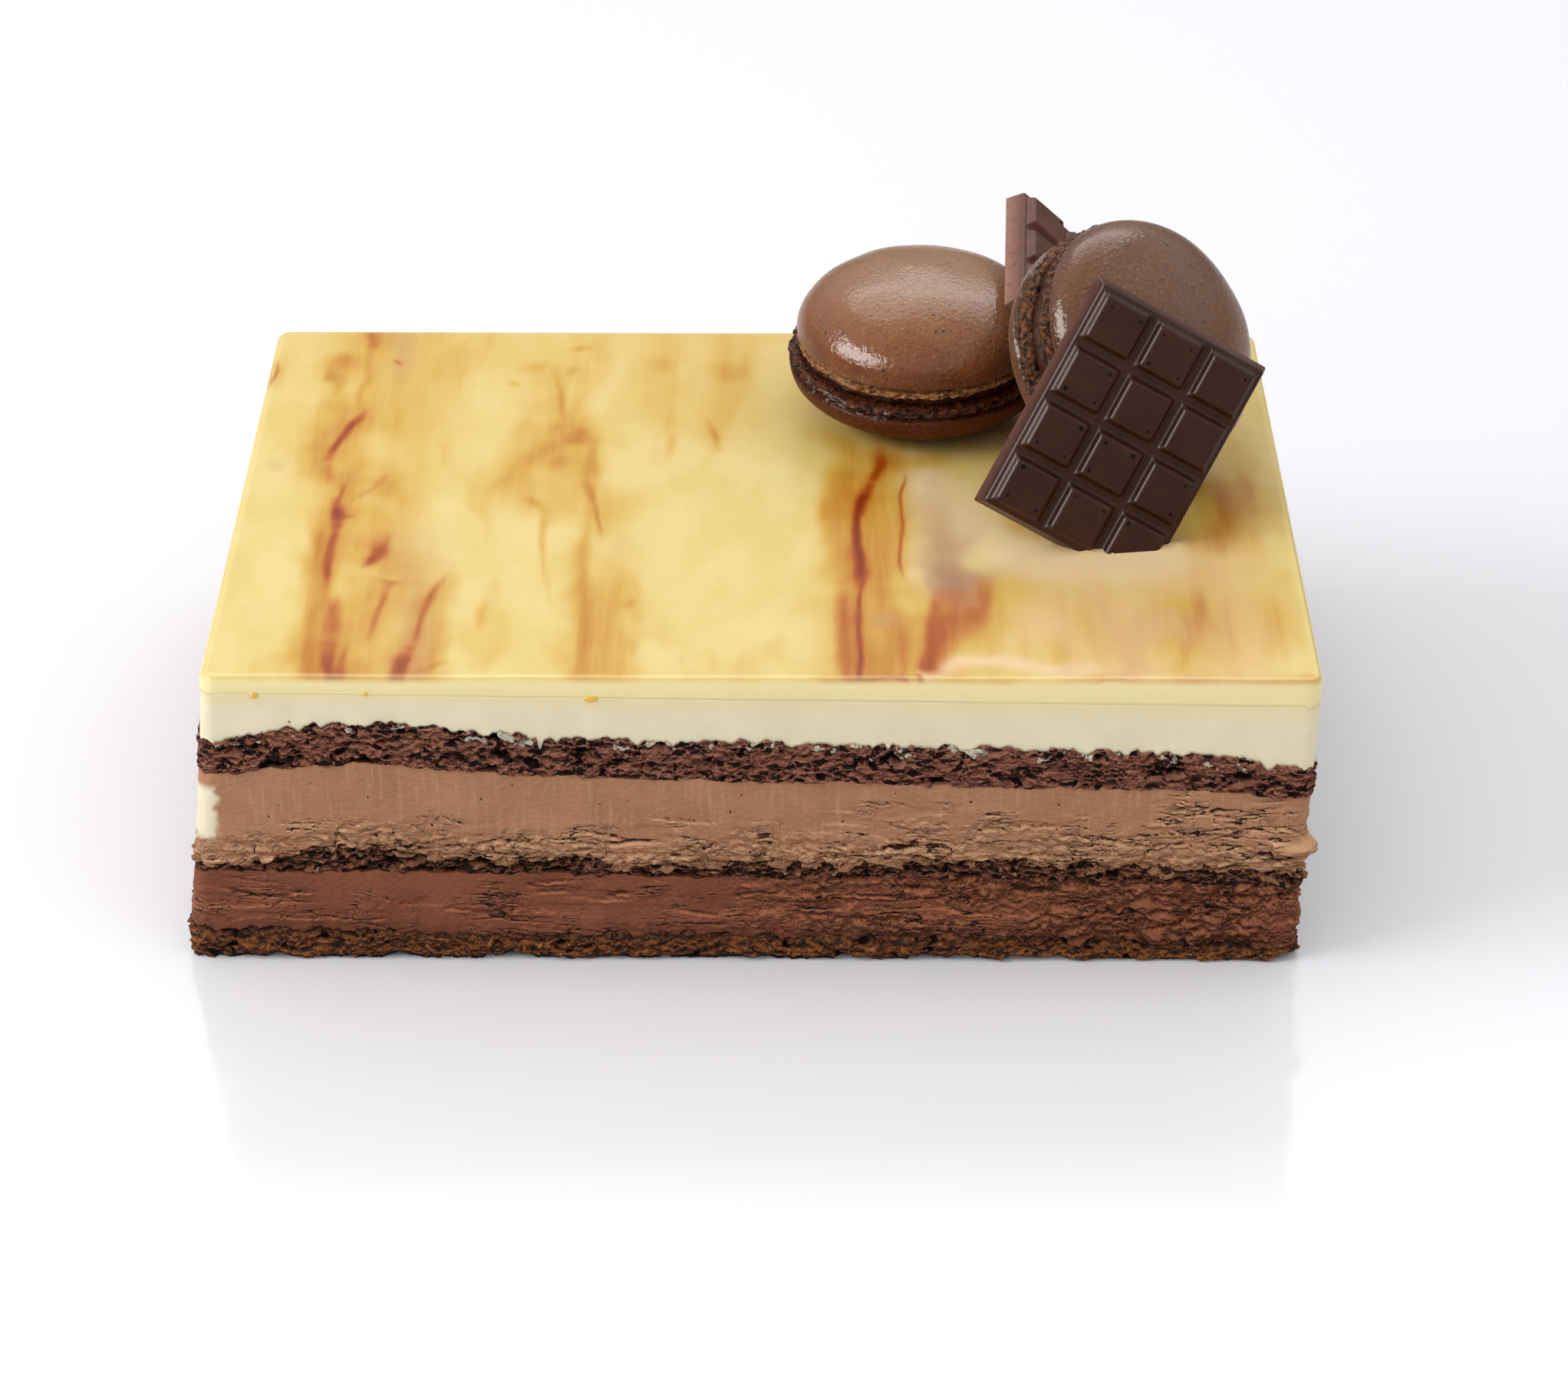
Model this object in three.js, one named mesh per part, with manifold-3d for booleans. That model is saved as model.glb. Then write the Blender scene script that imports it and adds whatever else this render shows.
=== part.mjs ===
// Triple chocolate mousse cake.
// A bar cake of seven stacked layers that show on every side, under a marbled glaze,
// with two macarons and two moulded chocolate tablets set on its right half.
// Millimetres, +Z up. The origin is under the middle of the cake and the front faces -Y.

import * as THREE from "three";
import { ImprovedNoise } from "three/addons/math/ImprovedNoise.js";
import { mergeVertices } from "three/addons/utils/BufferGeometryUtils.js";
import Module from "manifold-3d";

// The bar of cake
const WIDTH = 204.7;
const DEPTH = 145;
const GLAZE_TOP = 59;
const CORNER_RADIUS = 3;
const CORNER_STEPS = 2;
const OUTLINE_STEP = 5.2; // distance between the points of a layer's outline
const SPREAD_FROM = 6; // above this height the left end draws in
const LEFT_SPREAD = 4.7; // how much wider the foot is than the top, on the left
const SPREAD_CURVE = 1.5; // 1 draws the left end in evenly, more does it mostly low down
const RIGHT_SPREAD = 1.7; // the right end leans out to the glaze by this much

// The bumps that the layers share, along X on the front, drifting as they run to the back
const SWELL_PLACES = [-69, 46];
const SWELL_WIDTHS = [18, 23];
const SWELL_DRIFT = 0.2;
const DROOP_REACH = 12; // the layers sag over this length at the two ends

// The joints between layers: height in the middle, rise per mm towards +X, the two swells,
// the sag at the ends, the raggedness of the line, and how far it lies inside the outline
const EVEN = { rise: 0, swells: [0, 0], droop: 0, rag: 0 };
const ROUGH = { inset: 0.2, wander: 0.5 };
const JOINTS = {
  underside: { ...EVEN, height: 0, inset: 0.3, wander: 1.1 },
  base: { ...EVEN, ...ROUGH, height: 5.1, rise: -0.018, rag: 1.2 },
  dark: { ...ROUGH, height: 17.8, rise: -0.014, swells: [0, 0.4], droop: 0.6, rag: 0.8 },
  lowerSponge: { ...ROUGH, height: 21, rise: -0.008, swells: [1.8, 1.2], droop: 1.4, rag: 1.1 },
  milk: { ...ROUGH, height: 38.4, rise: -0.022, swells: [1.4, -0.4], droop: 1.2, rag: 0.8 },
  upperSponge: { ...ROUGH, height: 45.8, rise: -0.025, swells: [2.1, 0], droop: 2.8, rag: 1.6 },
  white: { ...EVEN, height: 54.8, rise: -0.011, inset: 0.9, wander: 0 },
  top: { ...EVEN, height: GLAZE_TOP, inset: 1.1, wander: 0 },
};
const LINE_GRAIN = 7; // size of the teeth along a ragged joint

// The layers, from the bottom up, each between two joints. Relief is the depth of the pits in a
// layer's sides, grain their size along the side and course their height; lip is how far a
// rounded edge swells out.
const LAYERS = [
  {
    name: "biscuit_base", from: "underside", to: "base", rows: 4,
    inset: 0, relief: 2.2, grain: 6, course: 3, lip: 0, colour: 0xa0643c, roughness: 0.95,
  },
  {
    name: "dark_mousse", from: "base", to: "dark", rows: 3,
    inset: 0.2, relief: 1, grain: 11, course: 4, lip: 0, colour: 0x4a2a1e, roughness: 0.85,
  },
  {
    name: "lower_sponge", from: "dark", to: "lowerSponge", rows: 2,
    inset: 0.2, relief: 1.4, grain: 6, course: 3, lip: 0, colour: 0x2c1a16, roughness: 0.95,
  },
  {
    name: "milk_mousse", from: "lowerSponge", to: "milk", rows: 4,
    inset: 0.1, relief: 1, grain: 12, course: 6, lip: 0, colour: 0x80553c, roughness: 0.8,
  },
  {
    name: "upper_sponge", from: "milk", to: "upperSponge", rows: 3,
    inset: 0.2, relief: 1.6, grain: 6, course: 4, lip: 0, colour: 0x33201b, roughness: 0.95,
  },
  {
    name: "white_mousse", from: "upperSponge", to: "white", rows: 2,
    inset: 0.7, relief: 0.3, grain: 20, course: 8, lip: 0, colour: 0xe9dfc4, roughness: 0.6,
  },
  {
    name: "glaze", from: "white", to: "top", rows: 4,
    inset: 0, relief: 0, grain: 20, course: 8, lip: 1.1, colour: 0xe6cf86, roughness: 0.12,
  },
];

// The macarons: two domed shells on crinkled feet with a filling between them
const MACARON_SIDES = 40;
const DOME_STEPS = 6;
const DOME_POWER = 2.2; // 2 is an ellipse, more is fuller at the shoulder
const FOOT_SETBACK = 1.6; // how far the frill draws in under the dome
const FRILL = [[1, 0], [0.25, 0.4], [0.5, 0.9]]; // its profile, as shares of the setback and the foot
const FRILL_TOP = 0.95; // the part of the foot that crinkles
const FOOT_RELIEF = 1.1;
const FOOT_GRAIN = 2.6;
const FILLING_SETBACK = 1.4;
const FILLING_WALL = 0.4; // the upright share of the filling's edge
const SHELL = { colour: 0x8a5a3a, roughness: 0.5 };
const CREAM = { colour: 0x2a1712, roughness: 0.3 };
const MACARONS = [
  {
    name: "flat_macaron", centre: [33, 37.6, 73.4], axis: [-0.013, -0.097, 0.995],
    foot: 1.7, filling: 2, upper: { radius: 24.4, dome: 12.2 }, lower: { radius: 26, dome: 10.9 },
  },
  {
    name: "leaning_macaron", centre: [72.3, 13.8, 82.8], axis: [0.586, -0.551, 0.595],
    foot: 2.7, filling: 3.8, upper: { radius: 24.2, dome: 11.4 }, lower: { radius: 24.2, dome: 10.6 },
  },
];

// The chocolate tablets: a slab with drafted sides and rows of raised pillows
const CHOCOLATE = { colour: 0x3b2420, roughness: 0.35 };
const TABLET_THICKNESS = 4.3;
const TABLET_DRAFT = 1.1;
const TABLET_BORDER = 0.2; // beyond the outer pillows' share of the grid
const TABLET_COLUMNS = 3;
const TABLET_ROWS = 4;
const PILLOW_PITCH = [11.5, 11.3];
const PILLOW_GROOVE = 1.8;
const PILLOW_HEIGHT = 1.4;
const PILLOW_DRAFT = 1.1;
const PILLOW_ROOT = 0.3; // how deep a pillow reaches into its slab
const TABLET_SINK = 2.5; // how deep a tablet stands in the glaze
const TABLETS = [
  {
    name: "front_tablet", centre: [69.5, -15.9, 79.2],
    face: [0.141, -0.935, 0.326], up: [0.475, 0.354, 0.805],
  },
  {
    name: "back_tablet", centre: [69.3, 45.2, 76.6],
    face: [0.696, -0.158, 0.701], up: [-0.717, -0.093, 0.691],
  },
];
const TABLET_WIDTH = TABLET_COLUMNS * PILLOW_PITCH[0] + 2 * TABLET_BORDER;
const TABLET_LENGTH = TABLET_ROWS * PILLOW_PITCH[1] + 2 * TABLET_BORDER;

const GAP = 0.3; // clearance between a topping and what it touches
const HALF_WIDTH = WIDTH / 2;
const HALF_DEPTH = DEPTH / 2;
const noise = new ImprovedNoise();
const wasm = await Module();
wasm.setup();

// One closed surface: vertices shared, with no normals, texture coordinates or empty triangles.
function closed(geometry) {
  geometry.deleteAttribute("normal");
  geometry.deleteAttribute("uv");
  const merged = mergeVertices(geometry, 1e-4);
  const corners = merged.index.array;
  const kept = [];
  for (let i = 0; i < corners.length; i += 3) {
    const [a, b, c] = corners.subarray(i, i + 3);
    if (a !== b && b !== c && c !== a) kept.push(a, b, c);
  }
  merged.setIndex(kept);
  return merged;
}

function toSolid(geometry) {
  return new wasm.Manifold(new wasm.Mesh({
    numProp: 3,
    vertProperties: Float32Array.from(geometry.attributes.position.array),
    triVerts: Uint32Array.from(geometry.index.array),
  }));
}

function toGeometry(solid) {
  const mesh = solid.getMesh();
  const geometry = new THREE.BufferGeometry();
  geometry.setAttribute("position", new THREE.BufferAttribute(mesh.vertProperties, 3));
  geometry.setIndex(new THREE.BufferAttribute(mesh.triVerts, 1));
  return geometry;
}

function namedMesh(name, geometry, { colour, roughness }) {
  geometry.computeVertexNormals();
  const material = new THREE.MeshStandardMaterial({ color: colour, roughness, metalness: 0 });
  const mesh = new THREE.Mesh(geometry, material);
  mesh.name = name;
  return mesh;
}

// The cake's outline seen from above: four straight sides and four round corners.
function cakeOutline() {
  const x = HALF_WIDTH - CORNER_RADIUS;
  const y = HALF_DEPTH - CORNER_RADIUS;
  const corners = [[x, -y], [x, y], [-x, y], [-x, -y]];
  const points = [];
  corners.forEach(([cx, cy], side) => {
    const start = (side - 1) * Math.PI / 2;
    const arc = new THREE.EllipseCurve(cx, cy, CORNER_RADIUS, CORNER_RADIUS, start, start + Math.PI / 2);
    const [nextX, nextY] = corners[(side + 1) % corners.length];
    const reach = new THREE.Vector2(CORNER_RADIUS, 0).rotateAround(new THREE.Vector2(), start + Math.PI / 2);
    const from = new THREE.Vector2(cx, cy).add(reach);
    const line = new THREE.LineCurve(from, new THREE.Vector2(nextX, nextY).add(reach));
    points.push(...arc.getPoints(CORNER_STEPS).slice(0, -1));
    points.push(...line.getPoints(Math.round(line.getLength() / OUTLINE_STEP)).slice(0, -1));
  });
  return points;
}

const OUTLINE = cakeOutline();

// A point of the outline at height z, moved in by inset. The left end spreads towards the foot.
function edgePoint(index, z, inset) {
  const climb = THREE.MathUtils.clamp((z - SPREAD_FROM) / (GLAZE_TOP - SPREAD_FROM), 0, 1);
  const left = -HALF_WIDTH + LEFT_SPREAD * (1 - (1 - climb) ** SPREAD_CURVE);
  const right = HALF_WIDTH - RIGHT_SPREAD * (1 - climb);
  const halfSpan = (right - left) / 2 - inset;
  const x = (left + right) / 2 + OUTLINE[index].x / HALF_WIDTH * halfSpan;
  const y = OUTLINE[index].y / HALF_DEPTH * (HALF_DEPTH - inset);
  return new THREE.Vector3(x, y, z);
}

// The height of a joint at a place in the cake.
function jointHeight(joint, x, y) {
  let z = joint.height + joint.rise * x;
  SWELL_PLACES.forEach((place, i) => {
    const away = (x - place - SWELL_DRIFT * (y + HALF_DEPTH)) / SWELL_WIDTHS[i];
    z += joint.swells[i] * Math.exp(-away * away);
  });
  const toEnd = (HALF_WIDTH - Math.abs(x)) / DROOP_REACH;
  z -= joint.droop * Math.exp(-toEnd * toEnd);
  return z + joint.rag * noise.noise(x / LINE_GRAIN, y / LINE_GRAIN, joint.height);
}

function jointPoint(joint, index) {
  const { x, y } = OUTLINE[index];
  const wander = joint.wander * (1 + noise.noise(x / LINE_GRAIN, joint.height, y / LINE_GRAIN));
  return edgePoint(index, jointHeight(joint, x, y), joint.inset + wander);
}

// A layer starts as a drum whose rim is drawn out to the cake's outline, row by row.
// Both layers at a joint pass through the same points, so they meet without a gap.
function layerGeometry(layer) {
  const from = JOINTS[layer.from];
  const to = JOINTS[layer.to];
  const drum = new THREE.CylinderGeometry(1, 1, 1, OUTLINE.length, layer.rows);
  drum.rotateX(Math.PI / 2);
  const geometry = closed(drum);
  const place = geometry.attributes.position;
  for (let i = 0; i < place.count; i += 1) {
    const up = place.getZ(i) + 0.5;
    const row = Math.round(up * layer.rows);
    const turn = Math.atan2(place.getY(i), place.getX(i)) / (2 * Math.PI);
    const index = (Math.round(turn * OUTLINE.length) + OUTLINE.length) % OUTLINE.length;
    const onAxis = Math.hypot(place.getX(i), place.getY(i)) < 0.5;
    let point;
    if (onAxis) {
      point = new THREE.Vector3(0, 0, jointHeight(row === 0 ? from : to, 0, 0));
    } else if (row === 0) {
      point = jointPoint(from, index);
    } else if (row === layer.rows) {
      point = jointPoint(to, index);
    } else {
      point = sidePoint(layer, jointPoint(from, index).z, jointPoint(to, index).z, index, up);
    }
    place.setXYZ(i, point.x, point.y, point.z);
  }
  return geometry;
}

// A point of a layer's side between its two joints, with the pits of its crumb.
function sidePoint(layer, low, high, index, up) {
  const swing = (up - 0.5) * Math.PI;
  const share = layer.lip > 0 ? (1 + Math.sin(swing)) / 2 : up;
  const z = THREE.MathUtils.lerp(low, high, share);
  const { x, y } = OUTLINE[index];
  const pit = Math.max(0, noise.noise(x / layer.grain, y / layer.grain, z / layer.course));
  return edgePoint(index, z, layer.inset + layer.lip * (1 - Math.cos(swing)) + layer.relief * pit);
}

// A macaron shell, its underside on z = 0 and its dome upwards.
function shellGeometry({ radius, dome }, foot) {
  const profile = [new THREE.Vector2(0, 0)];
  for (const [setback, height] of FRILL) {
    profile.push(new THREE.Vector2(radius - setback * FOOT_SETBACK, height * foot));
  }
  for (let step = 0; step < DOME_STEPS; step += 1) {
    const angle = step / DOME_STEPS * Math.PI / 2;
    const out = radius * Math.cos(angle) ** (2 / DOME_POWER);
    profile.push(new THREE.Vector2(out, foot + dome * Math.sin(angle) ** (2 / DOME_POWER)));
  }
  profile.push(new THREE.Vector2(0, foot + dome));
  const lathe = new THREE.LatheGeometry(profile, MACARON_SIDES);
  lathe.rotateX(Math.PI / 2);
  const geometry = closed(lathe);
  crinkleFoot(geometry, radius, foot);
  return geometry;
}

// The frill of a shell's foot: every point below the dome moves in or out.
function crinkleFoot(geometry, radius, foot) {
  const place = geometry.attributes.position;
  for (let i = 0; i < place.count; i += 1) {
    const [x, y, z] = [place.getX(i), place.getY(i), place.getZ(i)];
    const out = Math.hypot(x, y);
    if (out < radius / 2 || z > foot * FRILL_TOP) continue;
    const push = FOOT_RELIEF * noise.noise(x / FOOT_GRAIN, y / FOOT_GRAIN, z / FOOT_GRAIN + radius);
    place.setXY(i, x * (1 + push / out), y * (1 + push / out));
  }
}

// The filling, a disc with round sides between the two shells.
function fillingGeometry({ upper, filling }) {
  const half = filling / 2 - GAP;
  const edge = upper.radius - FILLING_SETBACK;
  const profile = [
    new THREE.Vector2(0, -half),
    new THREE.Vector2(edge - half, -half),
    new THREE.Vector2(edge, -half * FILLING_WALL),
    new THREE.Vector2(edge, half * FILLING_WALL),
    new THREE.Vector2(edge - half, half),
    new THREE.Vector2(0, half),
  ];
  const lathe = new THREE.LatheGeometry(profile, MACARON_SIDES);
  lathe.rotateX(Math.PI / 2);
  return closed(lathe);
}

function macaron(size) {
  const group = new THREE.Group();
  const upright = new THREE.Vector3(0, 0, 1);
  group.position.set(...size.centre);
  group.quaternion.setFromUnitVectors(upright, new THREE.Vector3(...size.axis).normalize());
  const upper = namedMesh(`${size.name}_upper_shell`, shellGeometry(size.upper, size.foot), SHELL);
  upper.position.z = size.filling / 2;
  const lower = namedMesh(`${size.name}_lower_shell`, shellGeometry(size.lower, size.foot), SHELL);
  lower.position.z = -size.filling / 2;
  lower.rotation.x = Math.PI;
  const filling = namedMesh(`${size.name}_filling`, fillingGeometry(size), CREAM);
  group.add(upper, filling, lower);
  return group;
}

// A block on z = 0 whose sides lean in by draft.
function draftedBlock(width, length, height, draft) {
  const block = closed(new THREE.BoxGeometry(width, length, height));
  const place = block.attributes.position;
  for (let i = 0; i < place.count; i += 1) {
    if (place.getZ(i) < 0) continue;
    const [x, y] = [place.getX(i), place.getY(i)];
    place.setXY(i, x - Math.sign(x) * draft, y - Math.sign(y) * draft);
  }
  return block.translate(0, 0, height / 2);
}

// A tablet with its embossed face upwards and the foot of its pillows on z = 0.
function tabletSolid() {
  const width = TABLET_WIDTH + 2 * TABLET_DRAFT;
  const length = TABLET_LENGTH + 2 * TABLET_DRAFT;
  const slab = draftedBlock(width, length, TABLET_THICKNESS, TABLET_DRAFT);
  let solid = toSolid(slab.translate(0, 0, -TABLET_THICKNESS));
  const foot = PILLOW_PITCH.map((pitch) => pitch - PILLOW_GROOVE);
  for (let column = 0; column < TABLET_COLUMNS; column += 1) {
    for (let row = 0; row < TABLET_ROWS; row += 1) {
      const pillow = draftedBlock(...foot, PILLOW_HEIGHT + PILLOW_ROOT, PILLOW_DRAFT);
      const x = (column - (TABLET_COLUMNS - 1) / 2) * PILLOW_PITCH[0];
      const y = (row - (TABLET_ROWS - 1) / 2) * PILLOW_PITCH[1];
      solid = solid.add(toSolid(pillow.translate(x, y, -PILLOW_ROOT)));
    }
  }
  return toGeometry(solid);
}

// The space that a tablet takes up, with its clearance all round.
function tabletSpace() {
  const width = TABLET_WIDTH + 2 * (TABLET_DRAFT + GAP);
  const length = TABLET_LENGTH + 2 * (TABLET_DRAFT + GAP);
  const height = TABLET_THICKNESS + PILLOW_HEIGHT + 2 * GAP;
  return draftedBlock(width, length, height, 0).translate(0, 0, -TABLET_THICKNESS - GAP);
}

// Turns a shape so that its embossed face looks along face and its length runs along up.
function tabletPose({ centre, face, up }) {
  const normal = new THREE.Vector3(...face).normalize();
  const right = new THREE.Vector3(...up).cross(normal).normalize();
  const along = normal.clone().cross(right);
  return new THREE.Matrix4().makeBasis(right, along, normal).setPosition(...centre);
}

// Everything above a height.
function spaceAbove(height) {
  const reach = 2 * WIDTH;
  return toSolid(draftedBlock(reach, reach, reach, 0).translate(0, 0, height));
}

function tabletMesh(tablet) {
  const posed = tabletSolid().applyMatrix4(tabletPose(tablet));
  const solid = toSolid(posed).intersect(spaceAbove(GLAZE_TOP - TABLET_SINK));
  return namedMesh(tablet.name, toGeometry(solid), CHOCOLATE);
}

// The glaze, with a pocket for each tablet that stands in it.
function glazeGeometry(layer) {
  let solid = toSolid(layerGeometry(layer));
  for (const tablet of TABLETS) {
    const space = toSolid(tabletSpace().applyMatrix4(tabletPose(tablet)));
    solid = solid.subtract(space.intersect(spaceAbove(GLAZE_TOP - TABLET_SINK - GAP)));
  }
  return toGeometry(solid);
}

const cake = new THREE.Group();
cake.name = "triple_chocolate_mousse_cake";
for (const layer of LAYERS) {
  const geometry = layer.name === "glaze" ? glazeGeometry(layer) : layerGeometry(layer);
  cake.add(namedMesh(layer.name, geometry, layer));
}
cake.add(...MACARONS.map(macaron));
cake.add(...TABLETS.map(tabletMesh));

export default cake;
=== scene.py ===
# %% [markdown]
# # A triple chocolate mousse cake
# The cake is a bar of seven layers that show on every side, under a marbled mirror glaze, with two
# macarons and two moulded chocolate tablets on its right half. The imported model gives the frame: every
# solid's place and size. Each solid is then replaced by a finer mesh of the same form, with the crumb,
# cracks and pores that make it look like food.

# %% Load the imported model
import math
import bmesh
import bpy
import numpy as np
from bmesh.types import BMEdge, BMVert
from mathutils import Matrix, Vector


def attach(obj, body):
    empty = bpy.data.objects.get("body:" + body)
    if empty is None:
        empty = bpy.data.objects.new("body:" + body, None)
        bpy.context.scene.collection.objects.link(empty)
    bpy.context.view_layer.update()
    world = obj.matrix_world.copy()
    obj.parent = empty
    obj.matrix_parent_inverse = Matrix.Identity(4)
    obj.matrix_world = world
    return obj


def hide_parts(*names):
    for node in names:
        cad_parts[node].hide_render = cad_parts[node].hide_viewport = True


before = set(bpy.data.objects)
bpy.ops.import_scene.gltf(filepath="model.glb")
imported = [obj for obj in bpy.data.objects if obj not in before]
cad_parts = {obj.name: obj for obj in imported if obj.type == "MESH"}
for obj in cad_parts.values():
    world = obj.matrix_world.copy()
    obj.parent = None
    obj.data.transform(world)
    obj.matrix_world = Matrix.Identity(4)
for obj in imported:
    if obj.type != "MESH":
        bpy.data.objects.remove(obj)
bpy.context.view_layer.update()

print("packed nodes:", len(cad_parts))

# %% [markdown]
# ## Numbers that every step shares
# Shapes are worked out in millimetres, as a pastry cook would measure them, and turned into Blender's
# metres at the very end. The bar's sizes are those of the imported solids.

# %% Sizes of the bar
MM = 0.001
HALF_X = 102.35
HALF_Y = 72.5
GLAZE_TOP = 59.0
CORNER = 3.0
SPREAD_FROM = 6.0
LEFT_SPREAD = 4.7
RIGHT_SPREAD = 1.7
print("bar:", 2 * HALF_X, "x", 2 * HALF_Y, "x", GLAZE_TOP, "mm")

# %% [markdown]
# ## Noise for crumb and cracks
# Food has no straight edges, so most surfaces are moved in and out by noise. Blender has noise textures,
# but a mesh of 80,000 points is moved much faster with arrays. `noise` is smooth gradient noise, `rough`
# adds finer and finer copies of it, `bubbles` scatters round hollows, as the air in a sponge does, and
# `clods` finds the crevices between lumps. The numbers come from a hash of the place, so every run gives
# the same cake.


# %% Noise helpers
def scramble(cells, seed):
    """A repeatable number from 0 to 1 for each cell of a grid."""
    key = cells.astype(np.int64) @ np.array([73856093, 19349663, 83492791]) + seed * 40503
    key = key.astype(np.uint32)
    key = (key ^ (key >> np.uint32(15))) * np.uint32(2246822519)
    key = (key ^ (key >> np.uint32(13))) * np.uint32(3266489917)
    return (key ^ (key >> np.uint32(16))) / 2.0**32


def noise(points, size, seed):
    """Smooth noise from about -1 to 1. The size of its lumps is in mm, one number or one per axis."""
    scaled = points / np.asarray(size)
    home = np.floor(scaled)
    inside = scaled - home
    fade = inside**3 * (inside * (inside * 6 - 15) + 10)
    total = np.zeros(len(points))
    for step in np.ndindex(2, 2, 2):
        corner = np.array(step)
        slopes = [scramble(home + corner, seed * 11 + axis) * 2 - 1 for axis in range(3)]
        share = np.prod(np.where(corner == 1, fade, 1 - fade), axis=1)
        total += share * ((inside - corner) * np.stack(slopes, axis=1)).sum(axis=1)
    return total * 1.7


def rough(points, size, seed, octaves=4, fall=0.5):
    """Noise on noise: each octave has half the size and a share of the height of the one before."""
    sizes = np.asarray(size, dtype=float)
    return sum(noise(points, sizes / 2**k, seed + k) * fall**k for k in range(octaves))


def shift(points, size, seed, octaves=1, fall=0.5, seed_step=1):
    """Noise for each of the three directions, to bend a pattern with."""
    return np.stack([rough(points, size, seed + seed_step * k, octaves, fall) for k in range(3)], axis=1)


def near_cells(points, size, seed):
    """The cells of a grid round each point, and how far it is from a random place in each of them."""
    scaled = points / np.asarray(size)
    home = np.floor(scaled)
    for step in np.ndindex(3, 3, 3):
        cell = home + np.array(step) - 1
        jitter = [scramble(cell, seed * 13 + axis) for axis in range(3)]
        yield cell, np.linalg.norm(scaled - cell - np.stack(jitter, axis=1), axis=1)


def bubbles(points, size, seed, share, smallest=0.22, largest=0.6):
    """How deep each point lies in a round hollow: 0 outside, 1 in its middle."""
    depth = np.zeros(len(points))
    for cell, away in near_cells(points, size, seed):
        radius = smallest + (largest - smallest) * scramble(cell, seed * 13 + 3) ** 2
        present = scramble(cell, seed * 13 + 4) < share
        depth = np.maximum(depth, np.where(present, 1 - (away / radius) ** 2, 0))
    return depth


def clods(points, size, seed):
    """How far each point is from the crevice between two clods: 0 in it, about 1 in a clod's middle."""
    nearest = second = np.full(len(points), np.inf)
    for _, away in near_cells(points, size, seed):
        second = np.minimum(second, np.maximum(nearest, away))
        nearest = np.minimum(nearest, away)
    return second - nearest


def ease(low, high, value):
    """A soft step from 0 at low to 1 at high."""
    share = np.clip((value - low) / (high - low), 0, 1)
    return share * share * (3 - 2 * share)


def hill(places, middle, size):
    """1 at the middle, falling off smoothly over a size in each direction."""
    return np.exp(-(((places - np.array(middle)) / np.array(size)) ** 2).sum(axis=1))


# %% [markdown]
# ## The bar's outline and the joints between its layers
# Seen from above the bar is a rectangle with small round corners. A layer's wall follows that outline,
# so the first helper gives, for each share of the way round, a place and the direction that faces out.
# The joints are wavy lines round the bar. Two neighbours use the same joint, so they meet without a gap.


# %% Outline and joints
def outline_table():
    """Places and outward directions round the bar; between the corners they run straight."""
    rows = []
    for turn, (side_x, side_y) in enumerate(((1, -1), (1, 1), (-1, 1), (-1, -1))):
        for angle in np.radians(np.linspace(turn * 90 - 90, turn * 90, 9)):
            out = np.array([math.cos(angle), math.sin(angle)])
            middle = np.array([side_x * (HALF_X - CORNER), side_y * (HALF_Y - CORNER)])
            rows.append([*(middle + CORNER * out), *out])
    rows.append(rows[0])
    return np.array(rows)


OUTLINE = outline_table()
TRAVEL = np.concatenate([[0], np.cumsum(np.linalg.norm(np.diff(OUTLINE[:, :2], axis=0), axis=1))])


def around(turn):
    """The place and outward direction at a share of the way round."""
    return np.stack([np.interp(turn * TRAVEL[-1], TRAVEL, OUTLINE[:, k]) for k in range(4)], axis=1)


def spread(x, z):
    """The left end runs out towards the foot and the right end towards the top."""
    climb = np.clip((z - SPREAD_FROM) / (GLAZE_TOP - SPREAD_FROM), 0, 1)
    left = -HALF_X + LEFT_SPREAD * (1 - (1 - climb) ** 1.5)
    right = HALF_X - RIGHT_SPREAD * (1 - climb)
    return (left + right) / 2 + x / HALF_X * (right - left) / 2


# height, rise per mm, two swells, sag at the ends, raggedness, size of the teeth
JOINTS = {
    "underside": (0.0, 0.0, (0.0, 0.0), 0.0, 0.0, 9.0),
    "base": (5.1, -0.018, (0.0, 0.0), 0.0, 0.9, 4.0),
    "dark": (17.8, -0.014, (0.0, 0.4), 0.6, 0.5, 4.0),
    "lower_sponge": (21.0, -0.008, (1.8, 1.2), 1.4, 1.0, 5.0),
    "milk": (38.4, -0.022, (1.4, -0.4), 1.2, 0.45, 5.0),
    "upper_sponge": (46.0, -0.025, (2.1, 0.0), 2.8, 0.8, 3.6),
    "white": (54.8, -0.011, (0.0, 0.0), 0.0, 0.05, 20.0),
}
SWELLS = ((-69.0, 18.0), (46.0, 23.0))
SWELL_DRIFT = 0.2
DROOP_REACH = 12.0


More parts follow.
